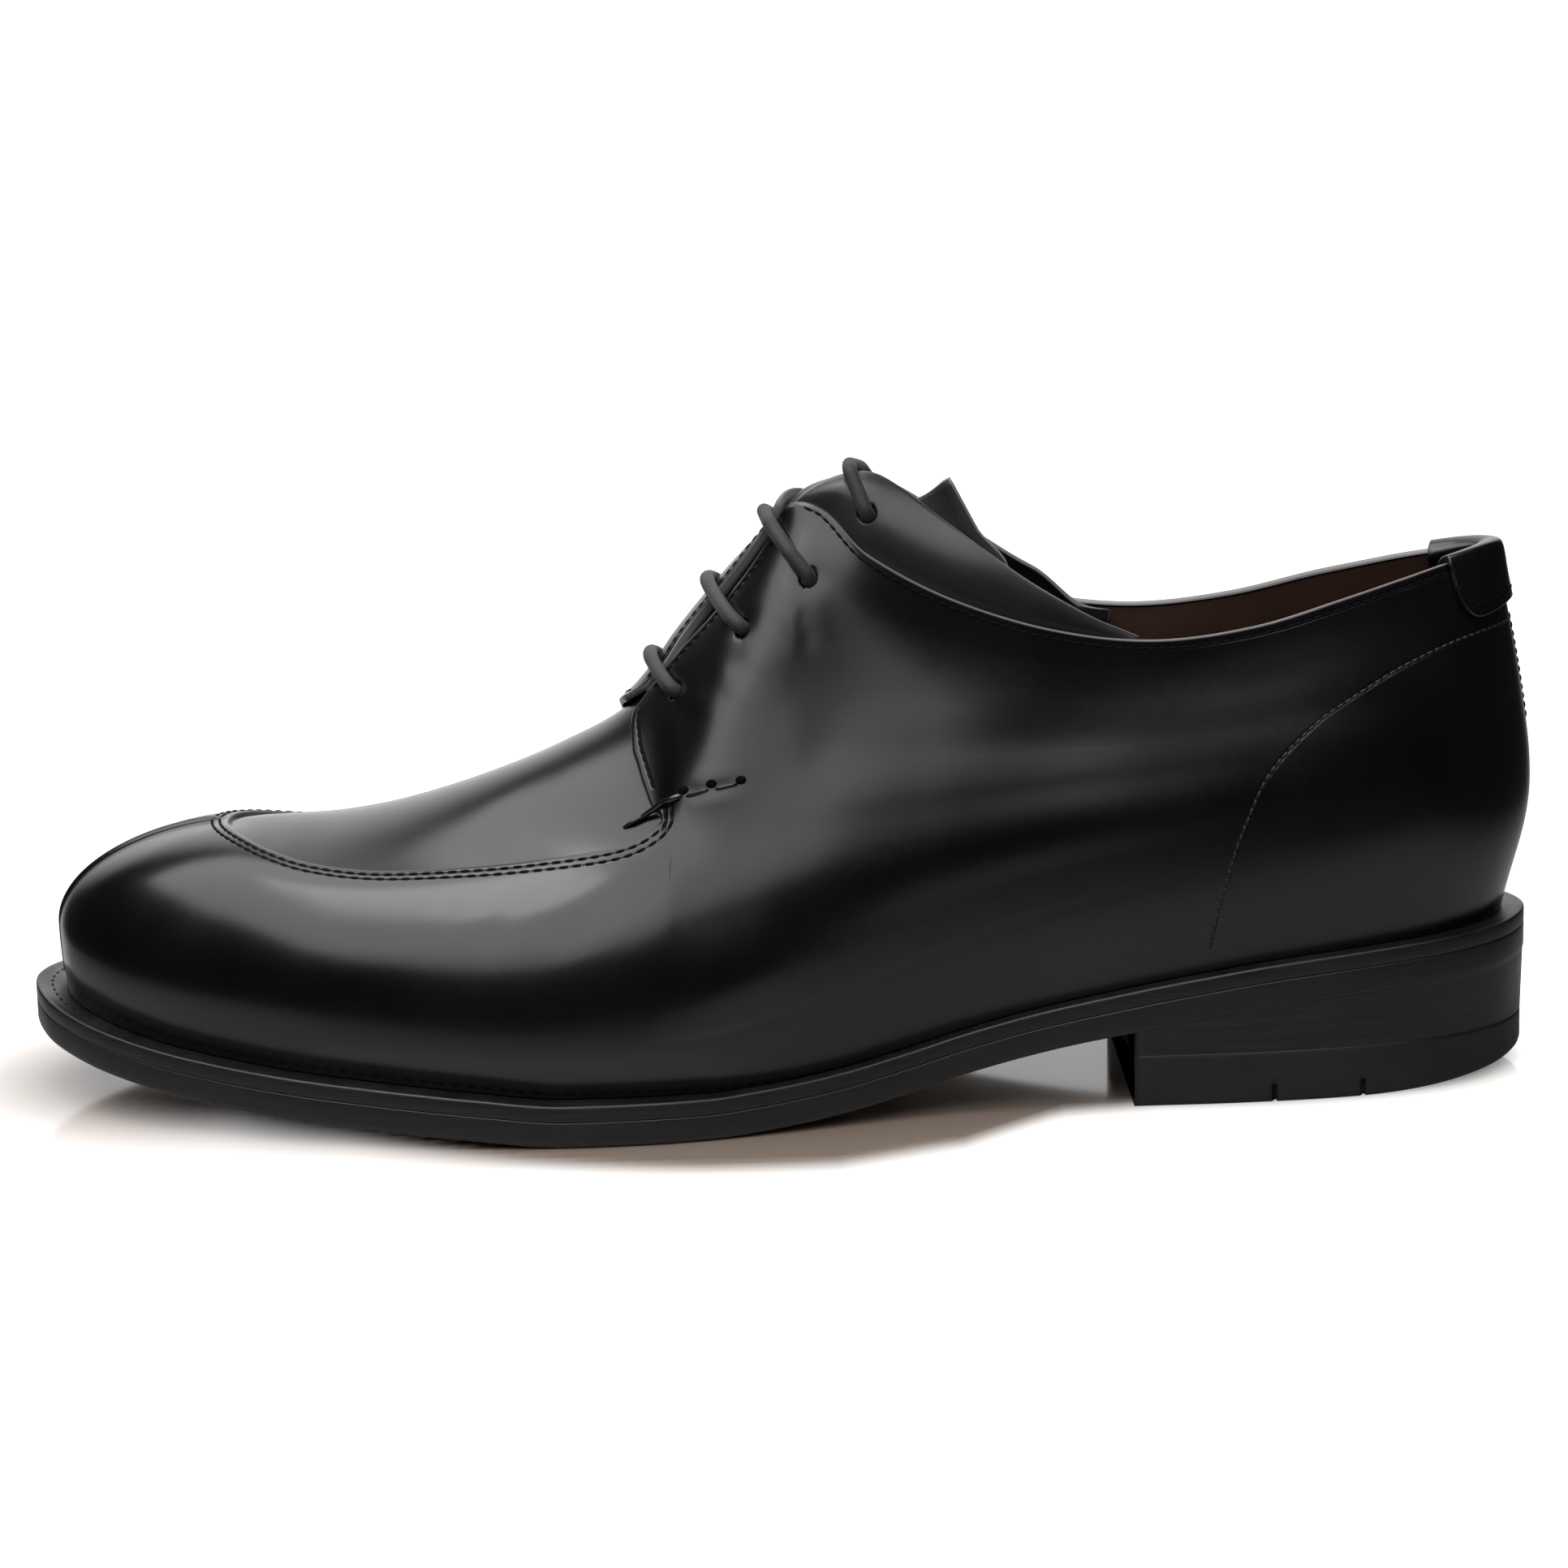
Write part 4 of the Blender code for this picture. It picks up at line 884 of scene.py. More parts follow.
def rowPoints(line, tree, pitch):
    spots, ups = settle(evenSteps(line, pitch), tree)
    along = unit(np.gradient(spots, axis=0))
    return spots, along, ups


def edgeRow(lines, first, last, inset):
    # a row that keeps a distance from the cut edge
    part = slice(first, last)
    return eased(lines["edge"][part] - lines["outward"][part] * inset, 6)


def socketInput(tree, name, kind, value):
    socket = tree.interface.new_socket(name=name, in_out="INPUT", socket_type=kind)
    if value is not None:
        socket.default_value = value
    return socket.identifier


def stitchTree(name, hole):
    # points carry "along" and "up"; the tree lays one thread, or one flat near-black disc of painted shade for
    # an awl hole, on each
    tree = bpy.data.node_groups.new(name, "GeometryNodeTree")
    tree.interface.new_socket(name="Geometry", in_out="OUTPUT", socket_type="NodeSocketGeometry")
    tree.interface.new_socket(name="Points", in_out="INPUT", socket_type="NodeSocketGeometry")
    ids = {}
    for label, value in (("Length", 0.002), ("Thread", 0.0006), ("Rise", 0.0002), ("Dip", 0.0003),
                         ("Hole", 0.0008), ("Step", 0.0013)):
        ids[label] = socketInput(tree, label, "NodeSocketFloat", value)
    ids["Finish"] = socketInput(tree, "Finish", "NodeSocketMaterial", None)
    start = addNode(tree, "NodeGroupInput")
    end = addNode(tree, "NodeGroupOutput")

    def scaled(label, by):
        return mathNode(tree, "MULTIPLY", start.outputs[label], by)

    def joined(x=None, y=None, z=None):
        node = addNode(tree, "ShaderNodeCombineXYZ")
        for key, socket in (("X", x), ("Y", y), ("Z", z)):
            if socket is not None:
                link(tree, socket, node.inputs[key])
        return node.outputs[0]

    if hole:
        # a flattened ball in the near-black finish: painted shade where the awl hole is
        ball = addNode(tree, "GeometryNodeMeshUVSphere")
        ball.inputs["Segments"].default_value = 8
        ball.inputs["Rings"].default_value = 5
        link(tree, scaled("Hole", 0.5), ball.inputs["Radius"])
        flat = addNode(tree, "GeometryNodeTransform")
        flat.inputs["Scale"].default_value = (1.0, 0.8, 0.26)
        link(tree, joined(x=start.outputs["Step"]), flat.inputs["Translation"])
        link(tree, ball.outputs["Mesh"], flat.inputs["Geometry"])
        shape = flat.outputs["Geometry"]
    else:
        arc = addNode(tree, "GeometryNodeCurveQuadraticBezier")
        arc.inputs["Resolution"].default_value = 6
        sink = scaled("Dip", -1.0)
        link(tree, joined(x=scaled("Length", -0.5), z=sink), arc.inputs["Start"])
        link(tree, joined(z=scaled("Rise", 2.6)), arc.inputs["Middle"])
        link(tree, joined(x=scaled("Length", 0.5), z=sink), arc.inputs["End"])
        ring = addNode(tree, "GeometryNodeCurvePrimitiveCircle")
        ring.inputs["Resolution"].default_value = 7
        link(tree, scaled("Thread", 0.5), ring.inputs["Radius"])
        tube = addNode(tree, "GeometryNodeCurveToMesh")
        tube.inputs["Fill Caps"].default_value = True
        link(tree, arc.outputs["Curve"], tube.inputs["Curve"])
        link(tree, ring.outputs["Curve"], tube.inputs["Profile Curve"])
        shape = tube.outputs["Mesh"]
    turn = None
    for axis, label in (("X", "along"), ("Z", "up")):
        read = addNode(tree, "GeometryNodeInputNamedAttribute", data_type="FLOAT_VECTOR")
        read.inputs["Name"].default_value = label
        pivot = "AUTO" if axis == "X" else "X"
        aim = addNode(tree, "FunctionNodeAlignRotationToVector", axis=axis, pivot_axis=pivot)
        link(tree, read.outputs["Attribute"], aim.inputs["Vector"])
        if turn is not None:
            link(tree, turn, aim.inputs["Rotation"])
        turn = aim.outputs["Rotation"]
    lay = addNode(tree, "GeometryNodeInstanceOnPoints")
    link(tree, start.outputs["Points"], lay.inputs["Points"])
    link(tree, shape, lay.inputs["Instance"])
    link(tree, turn, lay.inputs["Rotation"])
    real = addNode(tree, "GeometryNodeRealizeInstances")
    link(tree, lay.outputs["Instances"], real.inputs["Geometry"])
    shade = addNode(tree, "GeometryNodeSetShadeSmooth")
    link(tree, real.outputs["Geometry"], shade.inputs["Geometry"])
    paint = addNode(tree, "GeometryNodeSetMaterial")
    link(tree, shade.outputs["Geometry"], paint.inputs["Geometry"])
    link(tree, start.outputs["Finish"], paint.inputs["Material"])
    link(tree, paint.outputs["Geometry"], end.inputs["Geometry"])
    return tree, ids


threadTree, threadIds = stitchTree("threadRow", False)
holeTree, holeIds = stitchTree("holeShadeRow", True)


def layRow(name, rows, kind, finish, hole=False):
    # rows is a list of (spots, along, up)
    size = stitchSizes[kind]
    spots = np.vstack([row[0] for row in rows])
    mesh = bpy.data.meshes.new(name + "Points")
    mesh.from_pydata(toScene(spots).tolist(), [], [])
    for label, k in (("along", 1), ("up", 2)):
        values = np.vstack([row[k] for row in rows]).astype(np.float32)
        mesh.attributes.new(label, "FLOAT_VECTOR", "POINT").data.foreach_set("vector", values.ravel())
    carrier = bpy.data.objects.new(name + "Points", mesh)
    scene.collection.objects.link(carrier)
    tree, ids = (holeTree, holeIds) if hole else (threadTree, threadIds)
    mod = carrier.modifiers.new("row", "NODES")
    mod.node_group = tree
    for label, value in (("Length", size["length"]), ("Thread", size["thread"]), ("Rise", size["rise"]),
                         ("Dip", size["dip"]), ("Hole", size["hole"]), ("Step", size["pitch"] * 0.5)):
        mod[ids[label]] = value * 0.001
    mod[ids["Finish"]] = finish
    graph = bpy.context.evaluated_depsgraph_get()
    made = bpy.data.meshes.new_from_object(carrier.evaluated_get(graph))
    carrier.modifiers.remove(mod)
    bpy.data.objects.remove(carrier)
    ob = bpy.data.objects.new(name, made)
    made.name = name
    scene.collection.objects.link(ob)
    dress(ob)


def onRibLine(path, side, count=200):
    path = smoothPath(path, count)
    return skinAt(path[:, 0], path[:, 1], side)[0]


counterRow = (
    (0.25, 2.455), (0.8, 2.45), (1.40, 2.44), (2.0, 2.405), (2.54, 2.32), (2.98, 2.19), (3.38, 2.04),
    (3.71, 1.88), (3.96, 1.70), (4.11, 1.52), (4.23, 1.29), (4.34, 1.04), (4.42, 0.78), (4.50, 0.47),
    (4.56, 0.20))
backRow = ((0.11, 2.5), (0.11, 2.2), (0.11, 1.9), (0.11, 1.6))

panels = {}
panelTrees = {}
threadRows = {"fine": [], "edge": [], "counter": []}
for side, word in ((lat, "outer"), (med, "inner")):
    verts, faces, cutEdgeHighlight, lines = buildPanel(side)
    ob = makePiece("side_panel_" + word, verts, faces, upperCalf, ("upper",),
                   {"cutEdgeHighlight": cutEdgeHighlight})
    panels[side] = ob
    panelTrees[side] = meshTree(ob)
    end = len(lines["edge"])
    seamStart, front = lines["seamStart"], lines["front"]
    corner = int(np.argmin(np.abs(panelColumns - 9.05)))
    heelTab = int(np.argmin(np.abs(panelColumns - 1.55)))
    tree = panelTrees[side]
    made = {
        "fine": [edgeRow(lines, seamStart - 6, end - 5, 1.2), edgeRow(lines, seamStart - 4, end - 8, 2.75)],
        "edge": [edgeRow(lines, heelTab, corner - 3, 1.5), edgeRow(lines, corner + 3, front - 2, 1.6),
                 edgeRow(lines, front + 4, seamStart - 12, 1.5)],
        "counter": [onRibLine(counterRow, side), onRibLine(backRow, side)],
    }
    near = np.full(len(verts), 9.0)
    for kind, paths in made.items():
        for path in paths:
            row = rowPoints(path, tree, stitchSizes[kind]["pitch"])
            threadRows[kind].append(row)
            near = np.minimum(near, lineDistance(verts, evenSteps(path, 0.35))[0])
    ob.data.attributes.new("seam", "FLOAT", "POINT").data.foreach_set("value", near.astype(np.float32))
    print("side panel", word, "faces", len(faces))

for kind, name in (("fine", "apron_stitches"), ("edge", "edge_stitches"), ("counter", "counter_stitches")):
    finish = greyThread if kind == "counter" else blackThread
    layRow(name, threadRows[kind], kind, finish)
    # near-black discs at each stitch: painted shade of the awl holes
    layRow(name + "_hole_shade", threadRows[kind], kind, holeShade, hole=True)
print("stitch rows laid")

apronShape = {"from": (10.9, 1.9), "columnStep": 0.06, "rows": 46,
              "sunk": 1.0, "underFacing": 1.9, "tuck": 0.9}


def buildApron():
    shape = apronShape
    columns = graded(shape["from"][0], 20.0, shape["columnStep"], [(20.0, 0.2, 4.0)], (20.0,))
    rows = np.linspace(shape["from"][1], 3.0, shape["rows"])
    grids = []
    for side in (lat, med):
        s, t = np.meshgrid(columns, rows, indexing="ij")
        p, n = skinAt(s, t, side, 0.0)
        sunk = shape["sunk"] + (shape["underFacing"] - shape["sunk"]) * (1 - smooth(s, 11.4, 12.0))
        sunk = sunk + shape["tuck"] * (1 - smooth(t, 1.93, 1.99))
        grids.append((p, n, sunk))
    middle = unit(grids[0][1][:, -1] + grids[1][1][:, -1])
    for p, n, sunk in grids:
        n[:, -1] = middle
    full = [p - n * sunk[..., None] for p, n, sunk in grids]
    grid = np.concatenate((full[0], full[1][:, -2::-1]), axis=1)
    columns, rows = grid.shape[:2]
    marks = {"cutEdgeHighlight": np.zeros(columns * rows), "seam": np.full(columns * rows, 9.0)}
    makePiece("apron", grid.reshape(-1, 3), gridFaces(columns, rows, True), upperCalf,
              ("upper",), marks)


liningShape = {"columns": 170, "rows": 44, "clear": 0.05,
               "facingDrop": 0.14, "facingDeep": 1.3, "creaseLeast": 3.5}


def buildLining():
    shape = liningShape
    columns = np.linspace(0.0, 20.0, shape["columns"])
    rows = np.concatenate((np.linspace(0.03, 2.9, shape["rows"]), (2.95, 3.0)))
    verts, faces = [], []
    for side in (lat, med):
        s, t = np.meshgrid(columns, rows, indexing="ij")
        facing = smooth(s, 8.0, 8.8) * (1 - smooth(s, 11.4, 12.2))
        t = t - shape["facingDrop"] * facing * smooth(t, 2.4, 3.0)
        p, n = skinAt(s, t, side)
        creases = creaseRelief(p.reshape(-1, 3), side, shape["creaseLeast"]).reshape(s.shape)
        deep = wallThick + shape["clear"] - creases + shape["facingDeep"] * facing * smooth(t, 2.0, 2.3)
        faces += gridFaces(len(columns), len(rows), side == med, len(verts))
        verts += list((p - n * deep[..., None] + levelled(n) * formRelief(s, t)[..., None]).reshape(-1, 3))
    makePiece("lining", np.array(verts), faces, liningSkin, ("upper",))


buildApron()
buildLining()
print("apron and lining made")


# sheets of leather with rounded edges: collar bands, tongue, heel tab
def refined(grid, columns, rows):
    grid = np.asarray(grid, float)
    m, n = grid.shape[:2]
    first = tableAt(grid.reshape(m, -1), np.linspace(0, m - 1, columns)).reshape(columns, n, 3)
    turned = np.swapaxes(first, 0, 1).reshape(n, -1)
    return np.swapaxes(tableAt(turned, np.linspace(0, n - 1, rows)).reshape(rows, columns, 3), 0, 1)


def leatherSheet(name, grid, thick, flip, mat, nodes):
    # the grid is the face side; the flesh side lies behind it and the rim is round
    m, n = grid.shape[:2]
    normal = unit(np.cross(np.gradient(grid, axis=0), np.gradient(grid, axis=1)))
    if flip:
        normal = -normal
    verts = list(grid.reshape(-1, 3)) + list((grid - normal * thick).reshape(-1, 3))
    faces = gridFaces(m, n, flip) + gridFaces(m, n, not flip, m * n)
    loop = gridRim(m, n)
    spot = np.array([grid[q] for q in loop])
    up = np.array([normal[q] for q in loop])
    inner = np.array([grid[min(max(i, 1), m - 2), min(max(j, 1), n - 2)] for i, j in loop])
    out = spot - inner
    out = unit(out - up * np.sum(out * up, axis=1)[:, None])
    before = [i * n + j for i, j in loop]
    # the rim rings carry the mark for the cut-edge colour and its painted highlight
    cutEdgeHighlight = [0.0] * len(verts)
    for angle in (45, 90, 135):
        a = math.radians(angle)
        ring = spot - up * thick * 0.5 * (1 - math.cos(a)) + out * thick * 0.32 * math.sin(a)
        now = list(range(len(verts), len(verts) + len(ring)))
        verts += list(ring)
        cutEdgeHighlight += [1.0] * len(ring)
        before = rimFaces(faces, before, now, flip)
    rimFaces(faces, before, [m * n + i * n + j for i, j in loop], flip)
    marks = {"cutEdgeHighlight": np.array(cutEdgeHighlight), "seam": np.full(len(verts), 9.0)}
    return makePiece(name, np.array(verts), faces, mat, nodes, marks)


def rimFaces(faces, before, now, flip):
    for k in range(len(before)):
        j = (k + 1) % len(before)
        quad = [before[k], now[k], now[j], before[j]]
        faces.append(quad[::-1] if flip else quad)
    return now


bandShape = {
    "thick": 1.4, "clear": 0.9, "eyelets": {lat: (8.26, 0.67), med: (7.85, 0.68)},
    "columnStep": 0.09, "rowStep": 0.028, "follow": 0.9, "ending": (8.2, 10.0), "endLow": 2.9,
    "line": 2.99, "lineShare": 0.4,  # the quarter's top line, and how much of the band lies below it
    "curl": 0.8, "curlMore": 1.6, "lip": 0.4, "lipMore": 3.3,
    "eyeletDeep": 1.1, "eyeletEdge": (1.5, 1.95), "dimpleDeep": 0.25, "dimpleHalf": 3.2,
}

# collar band: rib, where it starts below the top line, then its top edge: x, outer y, inner y, z, inner drop
bandMarks = np.array((
    (9.6, 2.84, 2.6, -7, -4.6, 115.5, 1.3), (9.3, 2.84, 6.5, -7.6, -3.2, 119.5, 1.2),
    (9.05, 2.83, 11, -9.2, -0.8, 122.6, 1.5), (8.8, 2.82, 16, -11.8, 3, 124.6, 2),
    (8.5, 2.8, 21, -13.4, 6.4, 124.8, 2.2), (8.1, 2.79, 26.5, -15.2, 9.4, 121.9, 2),
    (7.6, 2.77, 34, -18.2, 12.6, 116.3, 1.6), (7, 2.74, 42.5, -21.2, 15, 110, 1.2),
    (6.4, 2.68, 52, -23, 16.6, 103.2, 0.8), (5.8, 2.61, 63, -23.6, 17.6, 96.8, 0.3),
    (5.25, 2.55, 73, -23.2, 17.8, 92.4, 0)), float)


def bandPoint(q, u, side):
    shape = bandShape
    row = tableAt(bandMarks, q)
    ending = smooth(q, *shape["ending"])  # the back end tapers out against the lining
    row[:, 1] += (shape["endLow"] - row[:, 1]) * ending

    def behind(t):
        p, n = skinAt(row[:, 0], t, side)
        relief = levelled(n) * shape["follow"] * formRelief(row[:, 0], t)[:, None]
        return p + n * -(wallThick + shape["clear"]) + relief

    low, line = behind(row[:, 1]), behind(np.full(len(q), shape["line"]))
    y = row[:, 3] if side == lat else row[:, 4]
    z = row[:, 5] if side == lat else row[:, 5] - row[:, 6]
    top = np.stack((row[:, 2], y, z), 1)
    if side == med:
        top = top + (line + np.array((0.0, 0.0, 0.3)) - top) * ending[:, None]
    bow = skinAt(row[:, 0], np.full(len(q), 2.95), side)[1]
    share = shape["lineShare"]
    v = np.clip((u - share) / (1 - share), 0, 1)[:, None]
    reach = np.minimum(1.0, np.linalg.norm(top - line, axis=1) / 12.0)[:, None]
    curl = shape["curl"] + shape["curlMore"] * (1 - smooth(q, 3.0, 7.5))[:, None]
    lip = (shape["lip"] + shape["lipMore"] * smooth(q, 0.3, 1.6) * (1 - smooth(q, 4.2, 7.6)))[:, None]
    high = line * (1 - v) + top * v + bow * curl * 4.0 * v * (1 - v) * reach
    high = high + np.array((0.0, -side, 0.0)) * lip * np.clip((v - 0.4) / 0.6, 0, 1) ** 2
    w = np.clip(u / share, 0, 1)[:, None]
    return np.where(u[:, None] <= share, low * (1 - w) + line * w, high)


def bandPlace(s):
    return np.interp(s, bandMarks[::-1, 0], np.arange(len(bandMarks))[::-1])


def bandEyelet(side):
    q = np.array([bandPlace(bandShape["eyelets"][side][0])])
    u = np.array([bandShape["eyelets"][side][1]])
    p = bandPoint(q, u, side)[0]
    a = bandPoint(q + 0.3, u, side)[0] - bandPoint(q - 0.3, u, side)[0]
    b = bandPoint(q, u + 0.08, side)[0] - bandPoint(q, u - 0.08, side)[0]
    n = unit(np.cross(a, b))
    return p, n if n[1] * side > 0 else -n


def buildBand(side, word):
    shape = bandShape
    rib, high = shape["eyelets"][side]
    q, u = np.meshgrid(graded(0.0, 10.0, shape["columnStep"], [(bandPlace(rib), 0.35, 2.5)], ()),
                       graded(0.0, 1.0, shape["rowStep"], [(high, 0.12, 2.0)], ()), indexing="ij")
    grid = bandPoint(q.ravel(), u.ravel(), side).reshape(q.shape + (3,))
    eased(np.swapaxes(grid, 0, 1), 2)
    spot, axis = bandEyelet(side)
    away = grid - spot
    r = np.linalg.norm(away - (away @ axis)[..., None] * axis, axis=2)
    hole = shape["eyeletDeep"] * (1 - smooth(r, *shape["eyeletEdge"]))
    dimple = shape["dimpleDeep"] * np.exp(-(r / shape["dimpleHalf"]) ** 2)
    near = np.abs(away @ axis) < 4.0
    grid = grid - axis * (near * (hole + dimple))[..., None]
    return leatherSheet("collar_leather_" + word, grid, shape["thick"], side == med, bandCalf,
                        ("collar_band_" + word,))


bands = {lat: buildBand(lat, "lateral"), med: buildBand(med, "medial")}

tongueShape = {"thick": 1.8, "columns": 70, "rows": 48}
# under the facings: rib, how far below them, how far down the sides
tongueUnder = ((12.9, 3.0, 2.62), (12.3, 3.6, 2.60), (11.6, 4.4, 2.58), (10.9, 5.0, 2.56), (10.2, 5.2, 2.55))
# above them, from the outer side to the inner: where the free part starts, then its top edge
tongueTop = np.array((
    (46.0, -15.0, 104.0, 35.8, -11.2, 123.0), (24.5, -11.8, 105.0, 30.5, -9.6, 119.4),
    (16.5, -9.0, 108.6, 24.0, -8.8, 117.6), (12.0, -6.4, 110.8, 19.0, -6.0, 117.6),
    (10.4, -3.6, 111.8, 17.0, -3.4, 118.0), (10.8, -0.8, 111.4, 17.0, -0.6, 117.6),
    (12.6, 2.0, 109.8, 18.6, 2.2, 116.0), (16.0, 4.8, 106.6, 21.6, 5.0, 113.0),
    (20.6, 7.6, 102.2, 26.0, 7.6, 108.2)), float)


def buildTongue():
    half = len(tongueTop) // 2
    grid = []
    for s, below, reach in tongueUnder:
        t = reach + (2.95 - reach) * np.arange(half) / half
        own = 1.0 if s <= 12.001 else 0.0
        p, n = skinAt(np.full(half, s), t, lat)
        q, m = skinAt(np.full(half, s), t, med)
        a, an = skinAt(s, 3.0, lat, own)
        b, bn = skinAt(s, 3.0, med, own)
        middle = 0.5 * (a - an * below + b - bn * below)
        grid.append(list(p - n * below) + [middle] + list((q - m * below)[::-1]))
    start = np.array(grid[-1])
    for f in (0.5, 1.0):
        grid.append(list(start * (1 - f) + tongueTop[:, :3] * f))
    for f in (0.5, 1.0):
        grid.append(list(tongueTop[:, :3] * (1 - f) + tongueTop[:, 3:] * f))
    fine = refined(grid, tongueShape["columns"], tongueShape["rows"])
    leatherSheet("tongue_leather", fine, tongueShape["thick"], False, tongueCalf, ("tongue",))


buildTongue()

tabShape = {
    "thick": 1.2, "stations": (1.67, 1.62, 1.52, 1.38, 1.15, 0.8, 0.4, 0.0), "columns": 90, "rows": 60,
    "rowIn": 5, "rowUp": 3, "rowTop": 20,  # where the stitch row runs, in columns and rows from the edge
}


def tabLine(side, s):
    corner = min(1.0, max(0.0, (s - 1.38) / 0.29))
    low = 2.62 - 0.06 * float(smooth(s, 0.2, 1.3)) + 0.26 * (1 - math.sqrt(1 - corner * corner))
    mid = 0.5 * (low + 3.0)
    out = seatGap + tabShape["thick"]
    inside = -wallThick - out - 0.15

    def at(t, off, lift):
        p, n = skinAt(s, t, side)
        return p + n * off + np.array((0.0, 0.0, lift))

    return [at(low, out, 0.0), at(mid, out, 0.0), at(3.0, out, 0.2), at(3.0, 0.1, out + 0.4),
            at(3.0, -wallThick - 0.3, out + 0.4), at(3.0, inside - 0.2, 0.3),
            at(mid, inside, 0.0), at(low, inside, 0.0)]


tabGrid = [tabLine(lat, s) for s in tabShape["stations"]]
tabGrid += [tabLine(med, s) for s in tabShape["stations"][-2::-1]]
tabFine = refined(tabGrid, tabShape["columns"], tabShape["rows"])
heelTab = leatherSheet("heel_tab_leather", tabFine, tabShape["thick"], False, tabCalf,
                       ("heel_tab",))
a, b = tabShape["rowIn"], tabShape["columns"] - tabShape["rowIn"]
up, top = tabShape["rowUp"], tabShape["rowTop"]
tabRow = eased(np.vstack((tabFine[a, top:up:-1], tabFine[a:b, up], tabFine[b - 1, up + 1:top + 1])), 20)
tabThreads = [rowPoints(tabRow, meshTree(heelTab), stitchSizes["tab"]["pitch"])]
layRow("tab_stitches", tabThreads, "tab", blackThread)
# near-black discs at each stitch: painted shade of the awl holes
layRow("tab_stitches_hole_shade", tabThreads, "tab", holeShade, hole=True)
print("bands, tongue and tab made")

laceShape = {
    "radius": 1.5, "clear": 0.08, "around": 14, "step": 0.5,
    "samples": 40, "ends": (5.0, 2.2, 0.4),  # how deep each end goes down its eyelet, and where it comes out
    # the last two bars lean back with the collar
    "leans": (instepUp, instepUp, np.array((-0.60, 0.0, 0.80)), np.array((-0.40, 0.0, 0.917))),
}


def tube(name, path, radius, mat, slot, nodes=(), around=14):
    path = np.asarray(path, float)
    along = unit(np.gradient(path, axis=0))
    side = unit(np.cross(along[0], (0.3, 0.2, 0.93)))
    verts, uvs, length = [], [], 0.0
    for k, (p, d) in enumerate(zip(path, along)):
        side = unit(side - d * (side @ d))
        up = np.cross(d, side)
        length += np.linalg.norm(p - path[k - 1]) if k else 0.0
        r = radius if np.isscalar(radius) else radius[k]
        for j in range(around + 1):
            a = 2 * math.pi * j / around
            verts.append(p + (side * math.cos(a) + up * math.sin(a)) * r)
            uvs.append((length / 3.0, 3.0 * j / around))
    n = around + 1
    faces = [[k * n + j, k * n + j + 1, (k + 1) * n + j + 1, (k + 1) * n + j]
             for k in range(len(path) - 1) for j in range(around)]
    faces.append(list(range(around))[::-1])
    last = (len(path) - 1) * n
    faces.append([last + j for j in range(around)])
    makePiece(name, np.array(verts), faces, mat, nodes, uv=("braid", uvs))


def tautLine(spots):
    # a pulled line touches only the high spots
    line = []
    for q in spots:
        while len(line) > 1:
            a, b = line[-2], line[-1]
            if (b[1] - a[1]) * (q[0] - a[0]) > (q[1] - a[1]) * (b[0] - a[0]):
                break
            line.pop()
        line.append(q)
    return line


def barPath(tree, pa, na, pb, nb, lean):
    # out of one eyelet, straight over the high spots, down into the other
    clear = laceShape["radius"] + laceShape["clear"]
    along = unit(pb - pa)
    out = unit(lean - along * (lean @ along))
    spots = []
    count = laceShape["samples"]
    for i in range(2, count - 1):
        q = pa + (pb - pa) * i / count
        high = None
        for k in range(-4, 5):
            d = clear * k / 4.0
            hit = tree.ray_cast(Vector(toScene(q + along * d + out * 40.0)), Vector(-out))
            if hit[0] is None:
                continue
            h = (np.array(hit[0]) / 0.001 - lastShift - q) @ out + math.sqrt(clear * clear - d * d)
            high = h if high is None else max(high, h)
        if high is not None:
            spots.append((i / count, high))
    over = [pa + (pb - pa) * f + out * h for f, h in tautLine(spots)]
    deep, inside, mouth = laceShape["ends"]
    return np.array([pa - na * deep, pa - na * inside, pa + na * mouth] + over
                    + [pb + nb * mouth, pb - nb * inside, pb - nb * deep])


def evenPath(path, step):
    fine = smoothPath(path, 400)
    total = lengthAlong(fine)[-1]
    return eased(pointsAt(fine, np.linspace(0, total, int(total / step))), 4)


def eyeletSpot(s, t, side):
    p, n = skinAt(s, t, side)
    roll = softRoll(np.array([s]), np.array([t]), side)[0]
    return p + roll + levelled(n) * float(formRelief(s, t)), n


facingTree = meshTree(panels[lat], panels[med])
bandTree = meshTree(bands[lat], bands[med])
for k, lean in enumerate(laceShape["leans"]):
    if k < len(panelShape["eyelets"]):
        s, t = panelShape["eyelets"][k]
        path = barPath(facingTree, *eyeletSpot(s, t, lat), *eyeletSpot(s, t, med), lean)
    else:
        path = barPath(bandTree, *bandEyelet(lat), *bandEyelet(med), lean)
    tube("lace_%d" % (k + 1), evenPath(path, laceShape["step"]), laceShape["radius"], waxedLace, "lace_cord",
         ("lace_bar_%d" % (k + 1),), laceShape["around"])
print("laces run")

